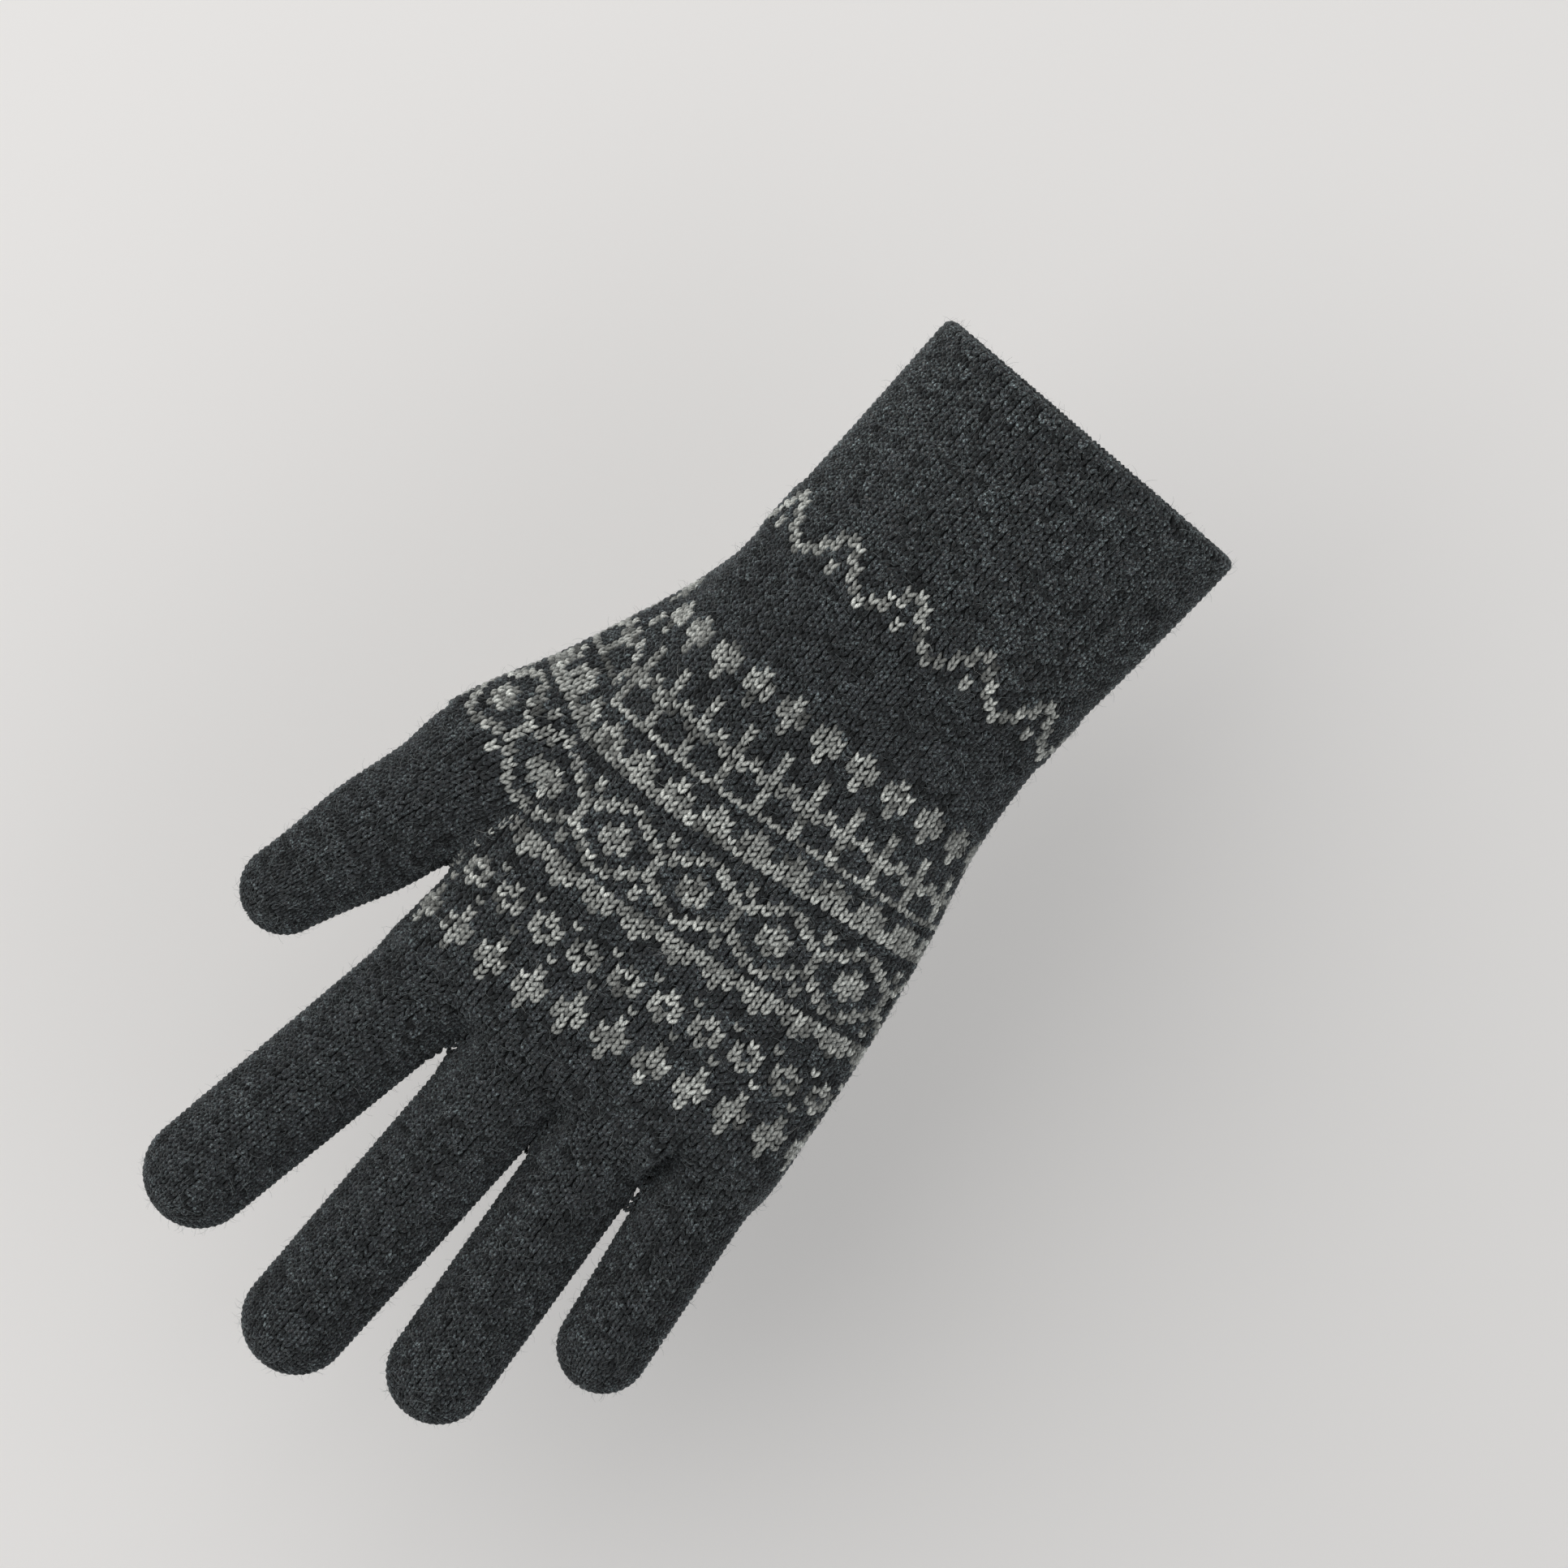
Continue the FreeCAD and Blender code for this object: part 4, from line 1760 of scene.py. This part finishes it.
@dataclass
class Thumb:
    """The thumb gusset and the plain thumb, made in three pieces."""

    gusset: DigitKnit
    knit: DigitKnit
    knitter: Knitter
    joints: tuple[float, float]
    meets: float = 1.0
    ground_from: float = -1.6
    root_end: float = 7.5
    gusset_span: tuple[float, float] = (-60.0, 0.6)

    def build(self) -> None:
        """Makes the gusset and the thumb's root, which ride on the hand, and two more pieces."""
        knuckle, tip = self.joints
        tube = self.knit.tube
        root_at = knuckle - self.root_end
        cut = (knuckle + tip) / 2
        ground = self.gusset.ground(self.knitter, "gusset_ground", *self.gusset_span, Wool.HAND)
        sites = self.gusset.sites(*self.gusset_span)
        gusset = self.knitter.piece("thumb_gusset_knit", sites, Wool.HAND, ground)
        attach(gusset, "hand")
        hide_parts("thumb_gusset")
        end = tube.skin_length
        tip_nodes = ("thumb_tip", "thumb_drawn_tip")
        plan = (
            ("root", self.meets, root_at, None, root_at, ("thumb_root",)),
            ("base", root_at, cut, ("hand", "thumb_low"), cut, ("thumb_base",)),
            ("tip", cut, end, ("thumb_low", "thumb_end"), 2 * tip - cut, tip_nodes),
        )
        for part, low, high, bodies, stop, nodes in plan:
            label = f"thumb_{part}_knit"
            sites = self.knit.sites(low, high)
            ground_low = low
            if part == "root":
                spare = self.knit.sites(self.knit.first, low)
                sites = self.knitter.filled(sites, spare, self.knit.shape.whole)
                ground_low = self.ground_from
            ground = self.knit.ground(self.knitter, label + "_ground", ground_low, high, Wool.PLAIN)
            made = self.knitter.piece(label, sites, Wool.PLAIN, ground)
            if bodies is None:
                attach(made, "hand")
            else:
                start_at, stop_at = self.knitter.ends(tube, low, stop)
                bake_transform(made)
            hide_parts(*nodes)


# ------------------------------------------------------------------ the studio


@dataclass
class Studio:
    """A pale floor, soft light from the upper left and a camera above the back of the hand."""

    target: tuple[float, float, float] = (0.0018, -0.0149, 0.018)
    distance: float = 2.4
    tilt: float = 3.0
    view_width: float = 0.3162
    drop: float = 95.0
    floor_half: float = 4000.0
    floor_colour: tuple[float, float, float] = (0.90, 0.882, 0.866)
    sky_colour: tuple[float, float, float] = (0.93, 0.94, 0.95)
    sky_strength: float = 0.48
    film_width: float = 36.0

    def axes(self) -> tuple[Vector, Vector, Vector]:
        """The directions the camera is set by.

        Returns:
            Its right, up and back directions.
        """
        right = Vector((-0.7562, -0.6543, 0.0)).normalized()
        back = Vector((0.0, -math.sin(math.radians(self.tilt)), math.cos(math.radians(self.tilt))))
        right = (right - right.dot(back) * back).normalized()
        up = back.cross(right)
        return right, up, back

    def camera(self) -> None:
        """Sets the camera."""
        right, up, back = self.axes()
        data = bpy.data.cameras.new("camera")
        data.sensor_width = self.film_width
        data.lens = self.film_width * self.distance / self.view_width
        data.clip_start = 0.05
        data.clip_end = 50
        cam = placed("camera", data)
        cam.rotation_mode = "QUATERNION"
        cam.location = Vector(self.target) + back * self.distance
        turn = [[right[i], up[i], back[i]] for i in range(3)]
        cam.rotation_quaternion = Matrix(turn).to_quaternion()
        bpy.context.scene.camera = cam

    def lamp(self, name: str, offset: Vector, power: float, size: float,
             colour: tuple[float, float, float]) -> None:
        """Adds one square soft lamp that faces the glove.

        Args:
            name: the lamp's name.
            offset: where it hangs, from the glove's middle.
            power: in watts.
            size: the square's side, in metres.
            colour: the light's colour.
        """
        data = bpy.data.lights.new(name, "AREA")
        data.energy = power
        data.size = size
        data.color = colour
        lamp = placed(name, data)
        lamp.location = Vector(self.target) + offset
        lamp.rotation_mode = "QUATERNION"
        lamp.rotation_quaternion = (-offset).to_track_quat("-Z", "Y")

    def build(self) -> None:
        """Makes the floor, lamps, world and camera."""
        self.camera()
        right, up, back = self.axes()
        far = self.floor_half
        sides = ((-far, -far), (far, -far), (far, far), (-far, far))
        corners = np.array([[x, y, -self.drop] for x, y in sides])
        floor = mesh_object("floor", corners, [(0, 1, 2, 3)])
        paint = bpy.data.materials.new("studio_floor")
        paint.use_nodes = True
        shader = paint.node_tree.nodes["Principled BSDF"]
        shader.inputs["Base Color"].default_value = (*self.floor_colour, 1)
        shader.inputs["Roughness"].default_value = 0.9
        shader.inputs["Specular IOR Level"].default_value = 0.1
        floor.data.materials.append(paint)
        self.lamp("key", -0.60 * right + 0.55 * up + 0.95 * back, 11.5, 1.7, (1.0, 0.99, 0.975))
        self.lamp("fill", 0.9 * right - 0.4 * up + 1.1 * back, 2.5, 1.2, (0.98, 0.99, 1.0))
        world = bpy.data.worlds.new("studio")
        world.use_nodes = True
        sky = world.node_tree.nodes["Background"]
        sky.inputs[0].default_value = (*self.sky_colour, 1)
        sky.inputs[1].default_value = self.sky_strength
        bpy.context.scene.world = world
        bpy.context.scene.view_settings.view_transform = "Standard"


# ------------------------------------------------------------------ putting it together


def joint_named(name: str) -> dict:
    """One joint from the record."""
    return next(j for j in frame["record"]["behaviour"]["joints"] if j["name"] == name)


def mount_named(name: str) -> dict:
    """One mount from the record."""
    return next(m for m in frame["record"]["mounts"] if m["name"] == name)


@dataclass(frozen=True)
class DigitSize:
    """One finger or the thumb. Lengths are in millimetres, radii in shares of the palm's width."""

    length: float
    root_share: float
    tip_share: float
    wales: int
    root_length: float = 5.0
    drop_share: float = 0.55
    back: float = 10.0
    fillet: float = 4.5

    def tube(self, name: str, palm_width: float, rest: float) -> TubeShape:
        """Places the tube on the line of its first knuckle.

        Args:
            name: the tube's name, with which the knuckle's begins.
            palm_width: the palm's width.
            rest: the origin's distance from the mouth.

        Returns:
            The tube, in millimetres from the mouth.
        """
        root, tip = self.root_share * palm_width, self.tip_share * palm_width
        joint = joint_named(name + "_knuckle")
        axis = joint["axis"]
        way = np.array([axis[1], -axis[0], 0.0])
        way = way / np.linalg.norm(way)
        pos = np.array(joint["pos_m"]) * 1000 + np.array([0.0, rest, 0.0])
        radius = root + (tip - root) * self.root_length / (self.length - tip)
        start = pos - way * self.root_length + np.array([0.0, 0.0, self.drop_share * radius])
        return TubeShape(name, start, way, self.length, root, tip, self.back, self.fillet)


FINGERS = {
    "index": DigitSize(71.5, 0.1320, 0.1250, 34),
    "middle": DigitSize(80.2, 0.1330, 0.1230, 34),
    "ring": DigitSize(69.2, 0.1210, 0.1165, 32),
    "little": DigitSize(50.8, 0.1150, 0.1040, 30),
}
THUMB = DigitSize(56.5, 0.151, 0.101, 40, root_length=13.5, back=2.0, fillet=3.0)
THUMB_SWELLS = ((27.0, 10.0, 0.9),)
GUSSET_SWELLS = ((-12.0, 9.0, 1.2),)
GUSSET_LEAN = 21.9
GUSSET_BACK = 62.0
GUSSET_FILLET = 6.0
GUSSET_PATTERN_END = 130.0


def hinge_distance(tube: TubeShape, joint: str, rest: float) -> float:
    """How far along its tube a knuckle lies."""
    pos = np.array(joint_named(joint)["pos_m"]) * 1000 + np.array([0.0, rest, 0.0])
    return float((pos - tube.start) @ tube.way)


def glove_shape(body: BodyShape, rest: float) -> GloveShape:
    """Puts the fingers, the gusset and the thumb on the body.

    Args:
        body: the cuff and hand.
        rest: the origin's distance from the mouth.

    Returns:
        The whole outer surface.
    """
    tubes = {name: size.tube(name, body.palm_width, rest) for name, size in FINGERS.items()}
    thumb = THUMB.tube("thumb", body.palm_width, rest)
    thumb.swells = THUMB_SWELLS
    lean = math.radians(GUSSET_LEAN)
    way = np.array([math.sin(lean), math.cos(lean), 0.0])
    root = thumb.root_radius
    tubes["gusset"] = TubeShape(
        "gusset", thumb.start, way, root + 1.0, root, root, GUSSET_BACK, GUSSET_FILLET, GUSSET_SWELLS,
    )
    tubes["thumb"] = thumb
    return GloveShape(body, tubes)


def knit_digits(knitter: Knitter, shape: GloveShape, gauge: Gauge, wrist_end: float) -> None:
    """Knits the four fingers, the gusset and the thumb.

    Args:
        knitter: makes the pieces.
        shape: the whole outer surface.
        gauge: the hand's stitch size.
        wrist_end: where the gusset's rows begin.
    """
    rest = knitter.rest
    for name, size in FINGERS.items():
        tube = shape.tubes[name]
        knit = DigitKnit(shape, tube, Gauge(course=1.38), size.wales, -9.7)
        hinges = (f"{name}_knuckle", f"{name}_middle_joint", f"{name}_tip_joint")
        joints = tuple(hinge_distance(tube, joint, rest) for joint in hinges)
        bodies = ("hand", name + "_root", name + "_mid", name + "_end")
        Digit(knit, knitter, joints, bodies).build()
    chart = Chart(tuple(b for b in HAND_BANDS if b.starts_at < GUSSET_PATTERN_END), gauge.course)
    gusset = DigitKnit(
        shape, shape.tubes["gusset"], gauge, THUMB.wales, -60.0, 0.2, chart, ("thumb",), wrist_end,
    )
    thumb = shape.tubes["thumb"]
    knit = DigitKnit(shape, thumb, Gauge(course=1.40), THUMB.wales, -4.2, joined_to=("gusset",))
    joints = tuple(hinge_distance(thumb, joint, rest) for joint in ("thumb_knuckle", "thumb_tip_joint"))
    Thumb(gusset, knit, knitter, joints).build()


def main() -> None:
    """Builds the glove piece by piece, then the studio."""
    logging.basicConfig(level=logging.INFO, format="%(name)s: %(message)s")
    rest = -mount_named("cuff_mouth_face")["pos_m"][1] * 1000
    gauge = Gauge()
    shape = glove_shape(BodyShape(), rest)

    heather = {Wool.PLAIN: 0.50, Wool.CUFF: 0.75, Wool.HAND: 0.50}
    fibre = {Yarn.CHARCOAL: (0.22, 0.243, 0.247), Yarn.PALE: (0.46, 0.47, 0.45)}
    wool = {kind: WoolFinish(kind.value, heather=amount).material() for kind, amount in heather.items()}
    fuzz = {yarn: FuzzFinish(yarn.value, colour).material() for yarn, colour in fibre.items()}
    stitch = StitchForm().build("stitch_form")
    fibres = [FibreForm().build(f"fibre_form_{i}", SEED + i) for i in range(FIBRE_FORMS)]
    knitter = Knitter(stitch, fibres, wool, fuzz, rest)

    body_knit = BodyKnit(shape, gauge, Chart(HAND_BANDS, gauge.course))
    Cuff(body_knit, knitter).build()
    Hand(body_knit, knitter).build()
    knit_digits(knitter, shape, gauge, body_knit.wrist_end)

    for form in [stitch, *fibres]:
        bpy.data.objects.remove(form)
    Studio().build()


if __name__ == "__main__":
    main()
